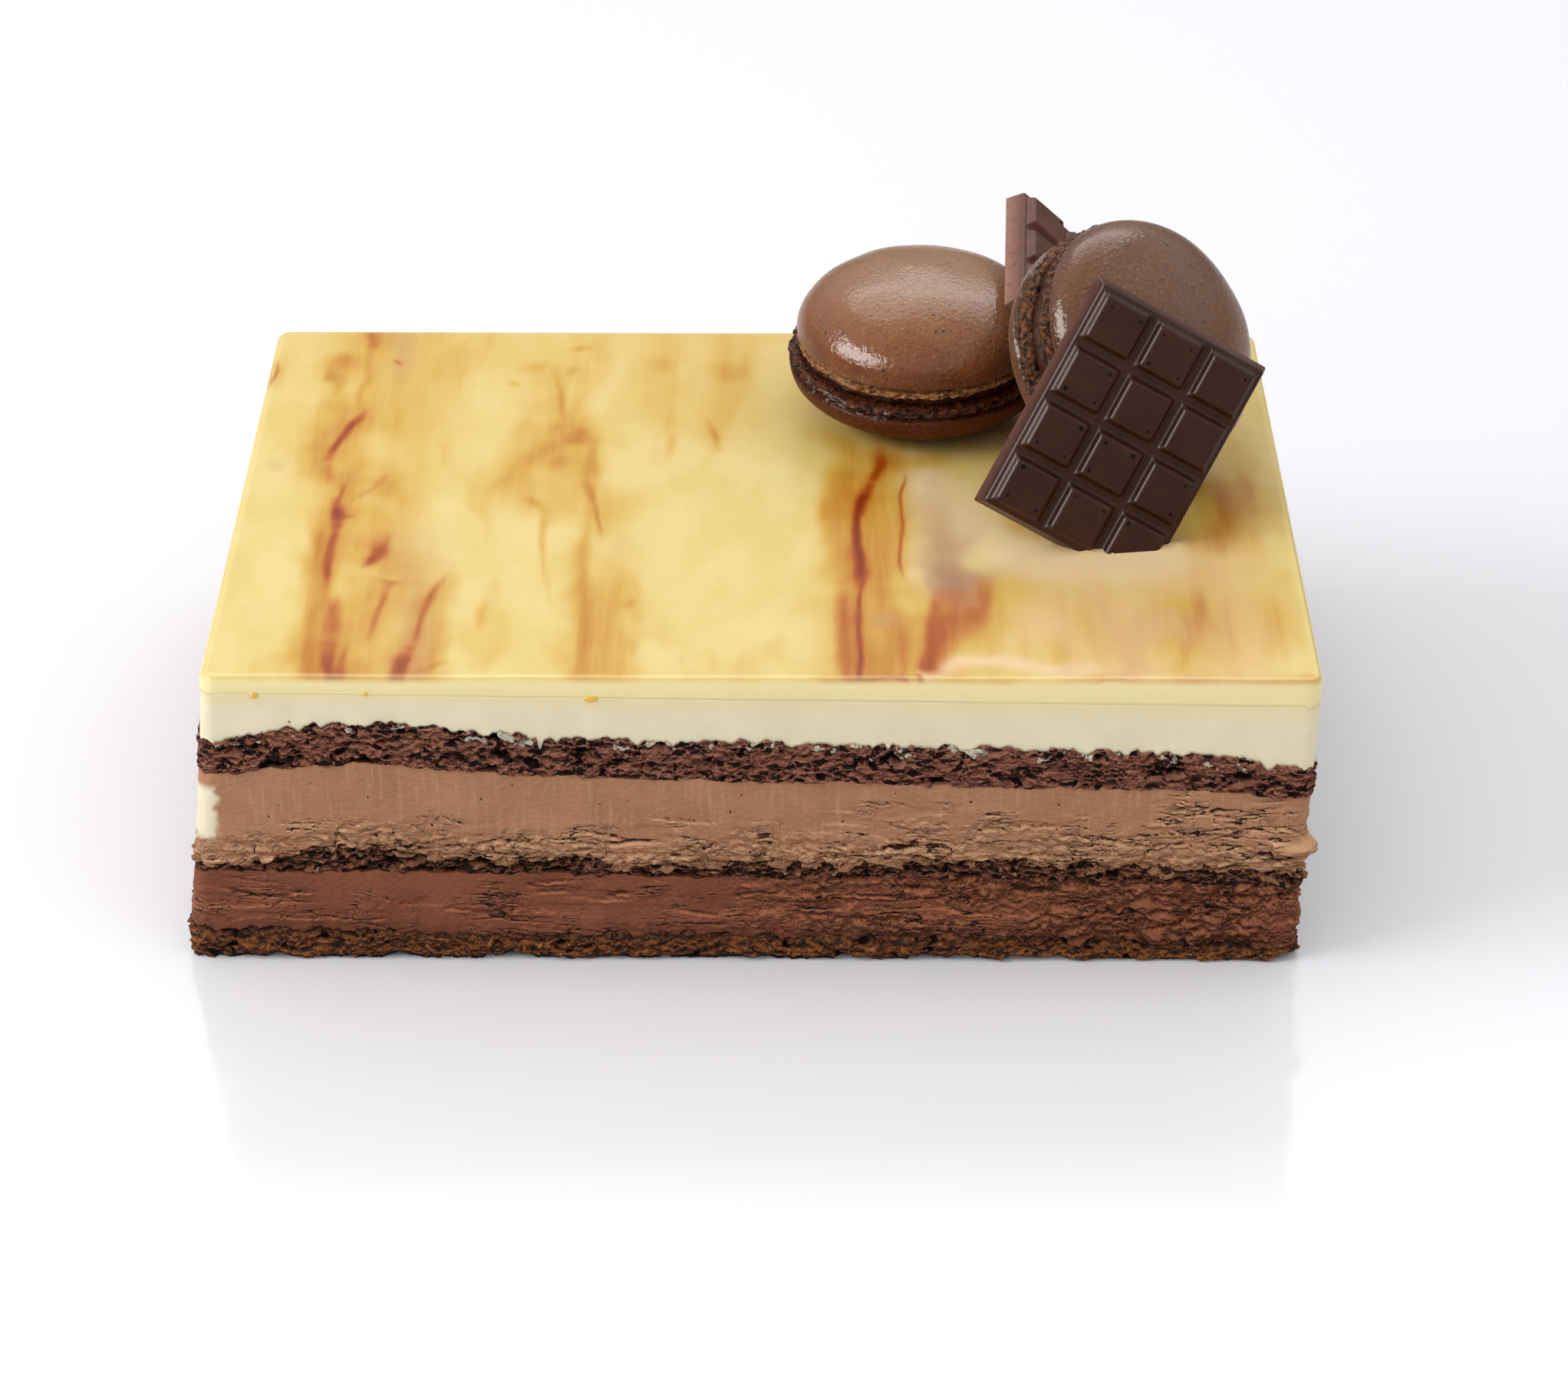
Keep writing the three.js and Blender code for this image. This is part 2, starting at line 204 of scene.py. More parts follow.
def joint_height(name, x, y):
    """The height of a joint at places round the bar."""
    height, rise, swells, droop, rag, teeth = JOINTS[name]
    z = height + rise * x
    for (place, width), swell in zip(SWELLS, swells):
        away = (x - place - SWELL_DRIFT * (y + HALF_Y)) / width
        z = z + swell * np.exp(-away * away)
    z = z - droop * np.exp(-(((HALF_X - np.abs(x)) / DROOP_REACH) ** 2))
    flat = np.stack([x, y, np.full_like(x, height)], axis=1)
    z = z + rag * rough(flat, teeth, 3, 5, 0.66)
    if name == "upper_sponge":
        z = z - 3.0 * bubbles(flat, 8.5, 17, 0.5, 0.08, 0.24) ** 0.6
        z = z - 1.2 * bubbles(flat, 2.4, 19, 0.5)
    if name == "lower_sponge":
        z = z - 1.2 * bubbles(flat, 3.5, 23, 0.5) ** 0.7
    if name == "underside":
        z = z + np.clip(2.0 * rough(flat, 14.0, 21, 5, 0.6) - 0.05, 0, 2.4)
    return z


print("way round the bar:", round(TRAVEL[-1], 1), "mm")

# %% [markdown]
# ## Blanks, and how a finished mesh joins the scene
# Every layer starts as a drum: a tube with one loop cut per row and a cap at each end. It could be
# extruded ring by ring, but subdividing the tube's upright edges makes all the rows in one call.
# `finish` hands a mesh over: it replaces its solid, rides on the cake's one body and takes its finish.
# Walls are shaded smooth and caps flat, so that a wall's light does not bend at its edge.


# %% Drum and hand-over
CORE = 0.9
CAP_INSET = 9.0


def only(kind, items):
    """The points, or the edges, among what a mesh operation has made."""
    return [item for item in items if isinstance(item, kind)]


def open_edges(edges):
    return [edge for edge in edges if edge.is_boundary]


def drum(columns, rows):
    """A closed tube of radius 1 and height 1 with a dense wall."""
    bm = bmesh.new()
    bmesh.ops.create_cone(bm, segments=columns, radius1=1, radius2=1, depth=1, cap_ends=False)
    uprights = [e for e in bm.edges if e.verts[0].co.z * e.verts[1].co.z < 0]
    bmesh.ops.subdivide_edges(bm, edges=uprights, cuts=rows - 1)
    for end in (-0.5, 0.5):
        rim = [e for e in open_edges(bm.edges) if abs(e.verts[0].co.z - end) < 1e-4]
        made = bmesh.ops.extrude_edge_only(bm, edges=rim)["geom"]
        bmesh.ops.scale(bm, vec=(CORE, CORE, 1), verts=only(BMVert, made))
        bmesh.ops.edgeloop_fill(bm, edges=open_edges(only(BMEdge, made)))
    bmesh.ops.recalc_face_normals(bm, faces=bm.faces)
    return bm


def points_of(mesh):
    places = np.empty(len(mesh.vertices) * 3)
    mesh.vertices.foreach_get("co", places)
    return places.reshape(-1, 3)


def to_mesh(bm, name):
    """A mesh and its points as an array."""
    mesh = bpy.data.meshes.new(name)
    bm.to_mesh(mesh)
    bm.free()
    return mesh, points_of(mesh)


def add(name, data):
    """A new object in the scene."""
    thing = bpy.data.objects.new(name, data)
    bpy.context.scene.collection.objects.link(thing)
    return thing


def finish(mesh, points, material, node, slot, capped=None, **marks):
    """Puts points, in mm, into a mesh with its marks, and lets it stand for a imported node."""
    mesh.vertices.foreach_set("co", (points * MM).ravel())
    for mark, values in marks.items():
        mesh.attributes.new(mark, "FLOAT", "POINT").data.foreach_set("value", values)
    rounded = np.ones(len(mesh.polygons), dtype=bool)
    if capped is not None:
        corners = np.empty(len(mesh.loops), dtype=np.int32)
        mesh.loops.foreach_get("vertex_index", corners)
        first = np.empty(len(mesh.polygons), dtype=np.int32)
        mesh.polygons.foreach_get("loop_start", first)
        rounded = ~np.logical_or.reduceat(capped[corners], first)
    mesh.polygons.foreach_set("use_smooth", rounded)
    mesh.update()
    mesh.materials.append(material)
    piece = add(mesh.name, mesh)
    if node:
        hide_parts(node)
    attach(piece, "root")
    print(mesh.name, len(mesh.vertices), "points")
    return piece


# %% [markdown]
# ## Pressing a layer
# The drum's angle says how far round the bar a point lies, and its height how far up the layer. The wall
# is first laid on the smooth outline. Then a surface function, one for each kind of food, says how far
# each point stands out and marks its pores and cracks, which the material reads to paint shade into them.
# Asking the function again a little higher up shows which way a ledge faces, and the mark "lit" lets the
# material paint highlights on the tops of ledges and shade under them, as a model painter brushes them.


# %% Layer press
LEDGE = 0.5


def press_layer(name, lower, upper, columns, rows, surface, material, slot):
    mesh, blank = to_mesh(drum(columns, rows), name + "_detail")
    turn = np.arctan2(blank[:, 1], blank[:, 0]) / (2 * math.pi) % 1
    up = blank[:, 2] + 0.5
    wall = np.hypot(blank[:, 0], blank[:, 1]) > (1 + CORE) / 2
    edge = around(turn)
    low = joint_height(lower, edge[:, 0], edge[:, 1])
    high = joint_height(upper, edge[:, 0], edge[:, 1])
    z = low + (high - low) * up
    points = np.stack([spread(edge[:, 0], z), edge[:, 1], z], axis=1)
    out, marks = surface(points, up)
    above = surface(points + np.array([0, 0, LEDGE]), up)[0]
    marks["lit"] = np.clip(0.5 + (out - above) / (2 * LEDGE), 0, 1)
    out = np.where(wall, out, -CAP_INSET)
    points[:, :2] += edge[:, 2:] * out[:, None]
    core_height = np.where(up < 0.5, JOINTS[lower][0], JOINTS[upper][0])
    points[:, 2] = np.where(wall, points[:, 2], core_height)
    return finish(mesh, points, material, name, slot, capped=~wall, **marks)


# %% [markdown]
# ## Finishes
# Each finish is a node material on Object coordinates, so it stays put from every side. Two small classes
# keep the node calls readable. `Nodes` makes and links the nodes of any tree. `Finish` is a material that
# starts with one colour and is painted in washes: each lays a colour over what is there, where noise or a
# mark of the mesh says so. Colours are screen values from 0 to 255, turned into linear light.


# %% Finish builder
def colour(red, green, blue):
    """A screen colour as linear light."""
    linear = [((c / 255 + 0.055) / 1.055) ** 2.4 for c in (red, green, blue)]
    return (*linear, 1.0)


class Nodes:
    """A node tree, and short ways to make the nodes in it."""

    def __init__(self, tree):
        self.tree = tree

    def put(self, value, socket):
        """Links a socket, or the mark of a name, or sets a plain number or colour."""
        if isinstance(value, str):
            value = self.node("ShaderNodeAttribute", {"attribute_name": value}).outputs["Fac"]
        if isinstance(value, bpy.types.NodeSocket):
            self.tree.links.new(value, socket)
        else:
            socket.default_value = value

    def fill(self, node, **inputs):
        """Puts values into a node's inputs. A low line in a name stands for a space."""
        for name, value in inputs.items():
            self.put(value, node.inputs[name.replace("_", " ")])

    def node(self, kind, settings=None, **inputs):
        made = self.tree.nodes.new(kind)
        for name, value in (settings or {}).items():
            setattr(made, name, value)
        self.fill(made, **inputs)
        return made

    def step(self, value, low, high, to_low=0.0, to_high=1.0):
        """A soft step of a value, or of the mark of a name."""
        ramp = self.node(
            "ShaderNodeMapRange", {"interpolation_type": "SMOOTHSTEP"}, Value=value,
            From_Min=low, From_Max=high, To_Min=to_low, To_Max=to_high,
        )
        return ramp.outputs["Result"]

    def maths(self, kind, result, *others):
        for other in others:
            sum_node = self.node("ShaderNodeMath", {"operation": kind})
            self.put(result, sum_node.inputs[0])
            self.put(other, sum_node.inputs[1])
            result = sum_node.outputs["Value"]
        return result

    def times(self, *shares):
        return self.maths("MULTIPLY", *shares)

    def most(self, *shares):
        return self.maths("MAXIMUM", *shares)

    def mix(self, share, under, over):
        blend = self.node("ShaderNodeMix", {"data_type": "RGBA"}, Factor=share, A=under, B=over)
        return blend.outputs["Result"]


class Finish(Nodes):
    """A material that starts with one colour and is painted in washes."""

    def __init__(self, name, roughness, specular, base):
        self.material = bpy.data.materials.new(name)
        self.material.use_nodes = True
        super().__init__(self.material.node_tree)
        self.shader = self.tree.nodes["Principled BSDF"]
        self.place = self.node("ShaderNodeTexCoord").outputs["Object"]
        self.relief = None
        self.dial(Roughness=roughness, Specular_IOR_Level=specular)
        self.set_paint(colour(*base))

    def dial(self, **inputs):
        self.fill(self.shader, **inputs)

    def set_paint(self, paint):
        self.paint = paint
        self.dial(Base_Color=paint)

    def wash(self, share, rgb):
        """Lays a share of a colour over the paint."""
        self.set_paint(self.mix(share, self.paint, colour(*rgb)))

    def over(self, value, low, high, rgb, most=1.0):
        """Lays a colour over the paint, more of it as a value or a mark goes from low to high."""
        self.wash(self.step(value, low, high, 0.0, most), rgb)

    def shade(self, way, strength, light, dark):
        """Painted highlight where crumbs face up and painted shade where they face down."""
        self.wash(self.times(self.step(way, 0.55, 1.0), strength), light)
        self.wash(self.times(self.step(way, 0.45, 0.0), strength), dark)

    def bump(self, value, depth):
        """Fine relief, depth in mm. A second call lays its relief on the first."""
        relief = self.node("ShaderNodeBump", Strength=1.0, Distance=depth * MM, Height=value)
        if self.relief:
            self.fill(relief, Normal=self.relief)
        self.relief = relief.outputs["Normal"]
        self.dial(Normal=self.relief)

    def spot(self, size, stretch=(1, 1, 1), rise=0.0):
        """Places measured in a size in mm, read a little higher up if a rise is given."""
        scale = [1 / (size * MM * s) for s in stretch]
        moved = (0, 0, rise / (size * stretch[2]))
        scaled = self.node("ShaderNodeMapping", Scale=scale, Location=moved, Vector=self.place)
        return scaled.outputs["Vector"]

    def noise(self, size, detail=3.0, roughness=0.55, stretch=(1, 1, 1), rise=0.0):
        spot = self.spot(size, stretch, rise)
        cloud = self.node("ShaderNodeTexNoise", Vector=spot, Scale=1.0, Detail=detail, Roughness=roughness)
        return cloud.outputs["Fac"]

    def dots(self, size):
        """Distance to scattered points, as a share of their spacing, and a random colour for each."""
        cells = self.node("ShaderNodeTexVoronoi", Vector=self.spot(size), Scale=1.0)
        return cells.outputs["Distance"], cells.outputs["Color"]

    def cells(self, size, stretch, warp):
        """Crumpled cells: how far a point is from its cell's wall, and a random shade for each cell."""
        spot = self.spot(size, stretch)
        cloud = self.node("ShaderNodeTexNoise", Vector=spot, Scale=1.7).outputs["Color"]
        bend = self.node("ShaderNodeVectorMath", {"operation": "MULTIPLY_ADD"})
        for value, socket in zip((cloud, (warp, warp, warp), spot), bend.inputs):
            self.put(value, socket)
        found = []
        for feature, output in (("DISTANCE_TO_EDGE", "Distance"), ("F1", "Color")):
            foam = self.node("ShaderNodeTexVoronoi", {"feature": feature}, Scale=1.0)
            self.fill(foam, Vector=bend.outputs["Vector"])
            found.append(foam.outputs[output])
        return found

    def ledges(self, size, roughness, stretch, rise):
        """Fine crumb, and which way it faces: 1 on top of a crumb and 0 under it."""
        here = self.noise(size, 4.0, roughness, stretch)
        above = self.noise(size, 4.0, roughness, stretch, rise)
        return here, self.step(self.maths("SUBTRACT", here, above), -0.12, 0.12)

    def cracks(self, size, flatness, width, patch, rise, rare=0.46):
        """Level hair cracks that taper to their ends, the flakes beside them and the lip below them, which
        gets a painted highlight.
        """
        gape = self.step(self.noise(patch, 1.0), rare, rare + 0.16)
        gape = self.times(gape, self.step(self.noise(1.3, 2.0), 0.35, 0.65, 0.3, 1.5))
        gape = self.most(gape, 0.001)
        lines = []
        for lift in (rise, 0.0):
            cloud = self.noise(size, 4.0, 0.52, (1, 1, flatness), lift)
            off = self.maths("ABSOLUTE", self.maths("SUBTRACT", cloud, 0.5), 0.0)
            lines.append(self.step(self.maths("DIVIDE", off, gape), width, width * 0.4))
        lip, line = lines
        flake = self.step(cloud, 0.5 - 1.2 * width, 0.5 + 1.2 * width)
        return line, self.times(flake, gape), lip

    def two_cracks(self, in_zone, lip_strength, light, *kinds):
        """Paints a highlight on the lips of two kinds of hair crack; gives their lines and the relief of
        their flakes.
        """
        lines, flakes, lips = zip(*(self.cracks(*kind) for kind in kinds))
        self.wash(self.times(self.most(*lips), in_zone, lip_strength), light)
        return self.times(self.most(*lines), in_zone), self.times(self.maths("ADD", *flakes), in_zone)


print("finish builder ready")

# %% [markdown]
# ## Biscuit base
# The base is pressed biscuit crumb. Its wall is lumpy, with gaps between the crumbs, and its lower edge
# is bitten away in places where crumbs have fallen out. The crumbs are golden where they stand out, and the
# gaps are painted nearly black as shade, so the material reads how far each point stands out. The tops and
# undersides of the crumbs get painted light and shade.


# %% Biscuit base
def biscuit_surface(points, up):
    bent = points + 0.5 * shift(points, 1.2, 25)
    crumbs = bubbles(bent, 1.8, 33, 0.85, 0.3, 0.7)
    grains = bubbles(bent, 0.95, 35, 0.8, 0.3, 0.65)
    gaps = bubbles(bent * np.array([0.65, 0.65, 1]), 1.4, 37, 0.4, 0.2, 0.62)
    out = 0.1 + 0.5 * rough(points, (7.0, 7.0, 4.0), 31, 3) + 0.6 * crumbs + 0.4 * grains - 1.4 * gaps**0.7
    out = out - 0.9 * ease(0.25, 0.0, up) - 0.5 * ease(0.8, 1.0, up)
    return out, {"crumb": ease(-0.9, 1.0, out), "up": up}


biscuit = Finish("baked biscuit", 0.7, 0.2, (76, 33, 14))
grain, way = biscuit.ledges(1.3, 0.62, (1.3, 1.3, 1), 0.4)
edge, pick = biscuit.cells(1.3, (1.3, 1.3, 0.9), 0.8)
biscuit.over(biscuit.noise(3.0, detail=4), 0.35, 0.65, (109, 55, 23))
biscuit.over(pick, 0.54, 0.6, (172, 99, 43), 0.8)
biscuit.over(pick, 0.46, 0.38, (56, 26, 12), 0.75)
# Painted highlight on the tops of crumbs and painted shade under them.
biscuit.shade(way, 0.75, (184, 109, 51), (28, 11, 5))
biscuit.shade("lit", 0.55, (184, 112, 54), (28, 11, 5))
# Cell walls and low places: painted shade in the gaps between crumbs.
biscuit.over(edge, 0.1, 0.0, (34, 16, 7), 0.5)
biscuit.over("crumb", 0.45, 0.1, (24, 11, 6))
biscuit.over("up", 0.6, 1.0, (72, 40, 24), 0.4)
biscuit.bump(grain, 2.2)
biscuit.bump(biscuit.step(edge, 0.0, 0.3), 0.3)
press_layer("biscuit_base", "underside", "base", 2000, 24, biscuit_surface, biscuit.material, "biscuit")


# %% [markdown]
# ## The two chocolate mousses
# Where a knife has cut cold mousse, it is smooth with fine drag marks or it breaks into flat cracks.
# A crack is the line where stretched noise crosses zero: it runs level, wavers and ends, as real ones do.
# A second noise chooses where cracks may open, and the flakes beside them stand a little proud. The mesh
# carries the large cracks; the material adds hair cracks of the same kind, too fine for the mesh. Cracks are
# painted dark as shade, with a painted highlight on the lip below each hair crack. Towards the right end the
# dark mousse is not cut but torn, which leaves clods with crevices between them, painted dark as shade too.


# %% Dark mousse
def cracks(points, size, seed, width):
    """Level lines, 1 in a crack and 0 away from it, and how far the flakes beside it stand out."""
    bent = points + shift(points, 3.0, seed, 3, 0.6, seed_step=7) * np.array([0.9, 0.9, 0.35])
    plates = rough(bent, size, seed + 31, 2, 0.4)
    return ease(width, 0.0, np.abs(plates)), np.tanh(plates / 0.15)


def dark_surface(points, up):
    right = ease(-50, 70, points[:, 0])
    zone = ease(-0.35, 0.3, noise(points, (30, 30, 6), 41) + 0.15 + 0.25 * right) * ease(1.0, 0.85, up)
    lines, flakes = cracks(points, (22, 22, 2.6), 43, 0.13)
    opened = lines * ease(0.0, 0.3, noise(points, (14, 14, 4), 51)) * zone
    lumps = clods(points + 1.1 * shift(points, 2.5, 45, 2), (6.5, 6.5, 3.4), 53)
    grain = rough(points, (1.5, 1.5, 0.9), 55, 3, 0.6)
    torn = right * ease(-0.4, 0.4, noise(points, (18, 18, 7), 59) + 0.5 * right)
    out = 0.25 * noise(points, 14.0, 57) + 0.2 * flakes * zone + 1.2 * torn * (ease(0.0, 0.4, lumps) - 0.6)
    out = out + grain * (0.04 + 0.45 * torn + 0.1 * ease(0.35, 0.1, up)) - 0.6 * opened
    crevice = 0.6 * torn * ease(0.07, 0.01, lumps) * ease(0.0, 0.4, noise(points, (7, 7, 5), 58))
    return out, {"crack": np.maximum(opened, crevice), "zone": zone, "low": 1 - up, "torn": torn}


dark = Finish("dark mousse", 0.65, 0.15, (121, 68, 46))
grain, way = dark.ledges(0.9, 0.64, (1.15, 1.15, 1), 0.3)
crumbly = dark.step("torn", 0.0, 0.8, 0.1, 0.7)
in_zone = dark.step("zone", 0.0, 0.6)
# light is a painted highlight for the tops of ledges and the lips of cracks, deep a painted shade under
# ledges.
light, deep = (194, 122, 84), (80, 42, 28)
dark.over(dark.noise(12.0), 0.3, 0.7, (137, 80, 57))
dark.shade(way, crumbly, light, deep)
dark.shade("lit", 0.7, light, deep)
dark.over("low", 0.75, 0.97, (84, 46, 29), 0.5)
long_cracks, short_cracks = (15.0, 0.15, 0.02, 14.0, 0.4), (8.0, 0.16, 0.02, 9.0, 0.3, 0.5)
hair, flakes = dark.two_cracks(in_zone, 0.55, light, long_cracks, short_cracks)
# Cracks and crevices are painted dark as shade.
dark.wash(dark.most(hair, dark.step("crack", 0.35, 0.9, 0.0, 0.7)), (38, 17, 10))
dark.bump(dark.times(grain, crumbly), 2.4)
dark.bump(flakes, 0.4)
dark.bump(dark.step(hair, 0.0, 1.0, 1.0, 0.0), 0.3)
press_layer("dark_mousse", "base", "dark", 1600, 52, dark_surface, dark.material, "dark_mousse")


# %% [markdown]
# The milk mousse is smooth above, where the knife slid, and crumbles below, above the thin sponge. At its
# left end some of the white mousse has run down the mould, which leaves a pale patch on the corner, and
# at its right end the knife has pushed out a small curl.


# %% Milk mousse
CURL_FROM_X = 95
CURL_MIDDLE, CURL_SIZE = (-71, 24), (2.5, 1.5)


def milk_surface(points, up):
    right = ease(-20, 60, points[:, 0])
    reach = 0.36 + 0.5 * right + 0.28 * noise(points, (26, 26, 9), 61)
    zone = ease(0.15, -0.1, up - reach)
    lines, flakes = cracks(points, (15, 15, 2.3), 63, 0.13)
    opened = lines * ease(0.0, 0.3, noise(points, (11, 11, 4), 71)) * zone
    broken = ease(0.42, 0.1, up + 0.25 * noise(points, (7, 7, 3), 74) - 0.12 * right)
    lumps = rough(points, (3.2, 3.2, 1.6), 75, 4, 0.6)
    scales = clods(points + 0.8 * shift(points, 2.2, 65, 2), (5.0, 5.0, 1.9), 73)
    gaps = broken * ease(0.08, 0.01, scales) * ease(0.0, 0.5, noise(points, (5, 5, 3), 78))
    drag = noise(points, (0.9, 0.9, 16), 77) * (1 - zone)
    pores = bubbles(points, 1.7, 79, 0.25, 0.1, 0.26)
    curl = hill(points[:, 1:], CURL_MIDDLE, CURL_SIZE) * (points[:, 0] > CURL_FROM_X)
    out = 0.2 * noise(points, 16.0, 81) + 0.2 * flakes * zone + 0.06 * drag + 0.3 * lumps * broken
    out = out + 0.5 * broken * (ease(0.0, 0.4, scales) - 0.5)
    out = out - 0.6 * opened - 0.3 * pores - 0.35 * gaps + 2.6 * curl
    edge = points[:, 0] + 0.25 * (points[:, 1] + 72) + 1.5 * rough(points, 3.0, 82, 3)
    cream = ease(-95.5, -97.0, edge) * ease(24.5, 26.5, points[:, 2]) * ease(37.5, 35.5, points[:, 2])
    marks = {"crack": np.maximum(opened, gaps), "broken": broken, "pit": pores, "zone": zone, "cream": cream}
    return out, marks


milk = Finish("milk mousse", 0.65, 0.15, (165, 116, 85))
grain, way = milk.ledges(0.8, 0.62, (1.6, 1.6, 1), 0.3)
crumbly = milk.step("broken", 0.0, 1.0, 0.08, 0.42)
in_zone = milk.step("zone", 0.1, 0.7)
# light is a painted highlight for the tops of ledges and the lips of cracks, deep a painted shade under
# ledges.
light, deep = (238, 189, 143), (152, 99, 66)
milk.over(milk.noise(12.0), 0.3, 0.7, (178, 128, 95))
milk.over(milk.noise(0.8, stretch=(1, 1, 9)), 0.5, 0.75, (206, 159, 122), 0.35)
milk.shade(way, crumbly, light, deep)
milk.shade("lit", 0.5, light, deep)
long_cracks, short_cracks = (15.0, 0.14, 0.022, 12.0, 0.45), (7.0, 0.2, 0.02, 7.0, 0.35, 0.52)
hair, flakes = milk.two_cracks(in_zone, 0.7, light, long_cracks, short_cracks)
# Cracks, gaps and pores are painted dark as shade.
opened = milk.most(hair, milk.step("crack", 0.35, 0.9), milk.step("pit", 0.2, 0.7))
milk.over(opened, 0.2, 1.0, (62, 33, 19))
milk.wash("cream", (236, 224, 196))
milk.bump(milk.times(grain, crumbly), 2.2)
milk.bump(flakes, 0.4)
milk.bump(milk.step(hair, 0.0, 1.0, 1.0, 0.0), 0.3)
press_layer("milk_mousse", "lower_sponge", "milk", 1500, 60, milk_surface, milk.material, "milk_mousse")


# %% [markdown]
# ## The two sponges
# Chocolate sponge is a foam: large and small air holes with thin webs between them, all a little flattened.
# Round hollows of two sizes are sunk into the wall and painted dark as shade. Near the upper edge some of
# the hollows are full of white mousse, which was poured onto the sponge, so those stay level and carry a
# mark for their colour.
# The thin sponge between the two dark layers is pressed flat, and lumps of milk mousse hang over it.


# %% Sponges
def sponge_surface(points, up):
    flat = (points + 0.6 * shift(points, 1.4, 85, 2)) * np.array([0.45, 0.45, 1.0])
    big = bubbles(flat, 1.9, 91, 0.34, 0.25, 0.8)
    small = bubbles(flat, 0.9, 93, 0.6, 0.3, 0.68)
    crumb = rough(points, (1.5, 1.5, 0.9), 95, 3, 0.6)
    poured = ease(0.6, 0.85, up + 0.1 * crumb) * ease(0.0, 0.2, noise(points, 3.0, 97))
    cream = ease(0.1, 0.35, np.maximum(big, 0.8 * small)) * poured
    out = 0.4 + 0.35 * noise(points, 6.0, 99) + 0.3 * crumb
    out = out - (1.9 * big**0.6 + 1.0 * small**0.7) * (1 - cream) + 0.1 * cream
    pit = np.clip(np.maximum(big, 0.85 * small), 0, 1) * (1 - cream)
    return out, {"pit": pit, "cream": cream, "up": up}


def thin_sponge_surface(points, up):
    out, marks = sponge_surface(points, 0 * up)
    lumps = rough(points, (4.0, 4.0, 2.0), 101, 4, 0.6)
    marks["cream"] = ease(0.75, 1.0, up + 0.7 * lumps)
    return out * 0.7 + 0.6 * lumps - 0.3 + 0.5 * marks["cream"], marks


sponge = Finish("chocolate sponge", 0.75, 0.12, (122, 70, 54))
grain, way = sponge.ledges(1.0, 0.62, (1.7, 1.7, 1), 0.32)
edge, pick = sponge.cells(1.25, (2.0, 2.0, 0.9), 1.1)
open_cell = sponge.times(sponge.step(edge, 0.06, 0.16), sponge.step(pick, 0.52, 0.56))
# light and deep: painted highlight on the tops of ledges and painted shade under them.
light, deep = (190, 128, 102), (40, 18, 13)
sponge.over(sponge.noise(4.0), 0.3, 0.7, (150, 92, 72))
sponge.over("up", 0.7, 1.0, (160, 108, 90), 0.4)
sponge.shade(way, 0.75, light, deep)
sponge.shade("lit", 0.5, light, deep)
# Open cells and pits are painted dark as shade in the holes.
sponge.wash(open_cell, (30, 14, 10))
sponge.over("pit", 0.3, 0.8, (22, 10, 7))
sponge.over("cream", 0.3, 0.6, (226, 216, 196))
sponge.bump(grain, 2.2)
sponge.bump(sponge.step(open_cell, 0.0, 1.0, 1.0, 0.0), 0.5)
press_layer("upper_sponge", "milk", "upper_sponge", 2400, 36, sponge_surface, sponge.material, "sponge")

thin = Finish("thin sponge", 0.75, 0.12, (80, 43, 30))
grain, way = thin.ledges(0.8, 0.62, (1.7, 1.7, 1), 0.3)
edge, pick = thin.cells(0.9, (1.8, 1.8, 0.9), 1.0)
open_cell = thin.times(thin.step(edge, 0.05, 0.18), thin.step(pick, 0.5, 0.54))
# light and deep: painted highlight on the tops of ledges and painted shade under them.
light, deep = (172, 114, 84), (30, 14, 9)
thin.over(thin.noise(2.5), 0.3, 0.7, (102, 58, 41))
thin.shade(way, 0.75, light, deep)
thin.shade("lit", 0.5, light, deep)
# Open cells and pits are painted dark as shade in the holes.
thin.wash(open_cell, (26, 13, 8))
thin.over("pit", 0.3, 0.8, (26, 13, 8))
thin.over("cream", 0.5, 0.7, (180, 132, 97))
thin.bump(grain, 2.0)
thin.bump(thin.step(open_cell, 0.0, 1.0, 1.0, 0.0), 0.4)
press_layer("lower_sponge", "dark", "lower_sponge", 2200, 18, thin_sponge_surface, thin.material, "sponge")


# %% [markdown]
# ## White mousse
# The white mousse set against a smooth mould, so its wall is almost flat, with a few pinholes. Some glaze
# has run down over its upper edge, which tints it yellow there.


# %% White mousse
def white_surface(points, up):
    pores = bubbles(points, 6.0, 111, 0.3, 0.03, 0.07)
    swell = 0.15 * noise(points, 22.0, 113) + 0.05 * noise(points, 5.0, 115)
    out = -0.08 + swell * ease(1.0, 0.6, up) - 0.4 * pores
    return out, {"pit": pores, "up": up}


white = Finish("white mousse", 0.42, 0.4, (232, 222, 188))
white.dial(Subsurface_Weight=0.2, Subsurface_Radius=(0.003, 0.0025, 0.0015))
white.over(white.noise(9.0), 0.3, 0.7, (239, 229, 197))
white.over("up", 0.55, 1.0, (244, 221, 158), 0.55)
# Pinholes are painted darker as shade.
white.over("pit", 0.1, 0.6, (140, 100, 60))
press_layer("white_mousse", "upper_sponge", "white", 2400, 14, white_surface, white.material, "white_mousse")

# %% [markdown]
# ## Mirror glaze
# The glaze is a thin pale yellow jelly, poured warm so that it finds its own level, with caramel dragged
# through it from back to front. Its top is one fine grid, because the marbling is stored on its points;
# the round lip is made by extruding the grid's rim. Marbling could be noise alone, but each pour is
# unlike any other, so the main strokes are given as short paths, and noise feathers them. The
# strokes are narrow and run front to back, so the grid's columns stand closer where most of them are.

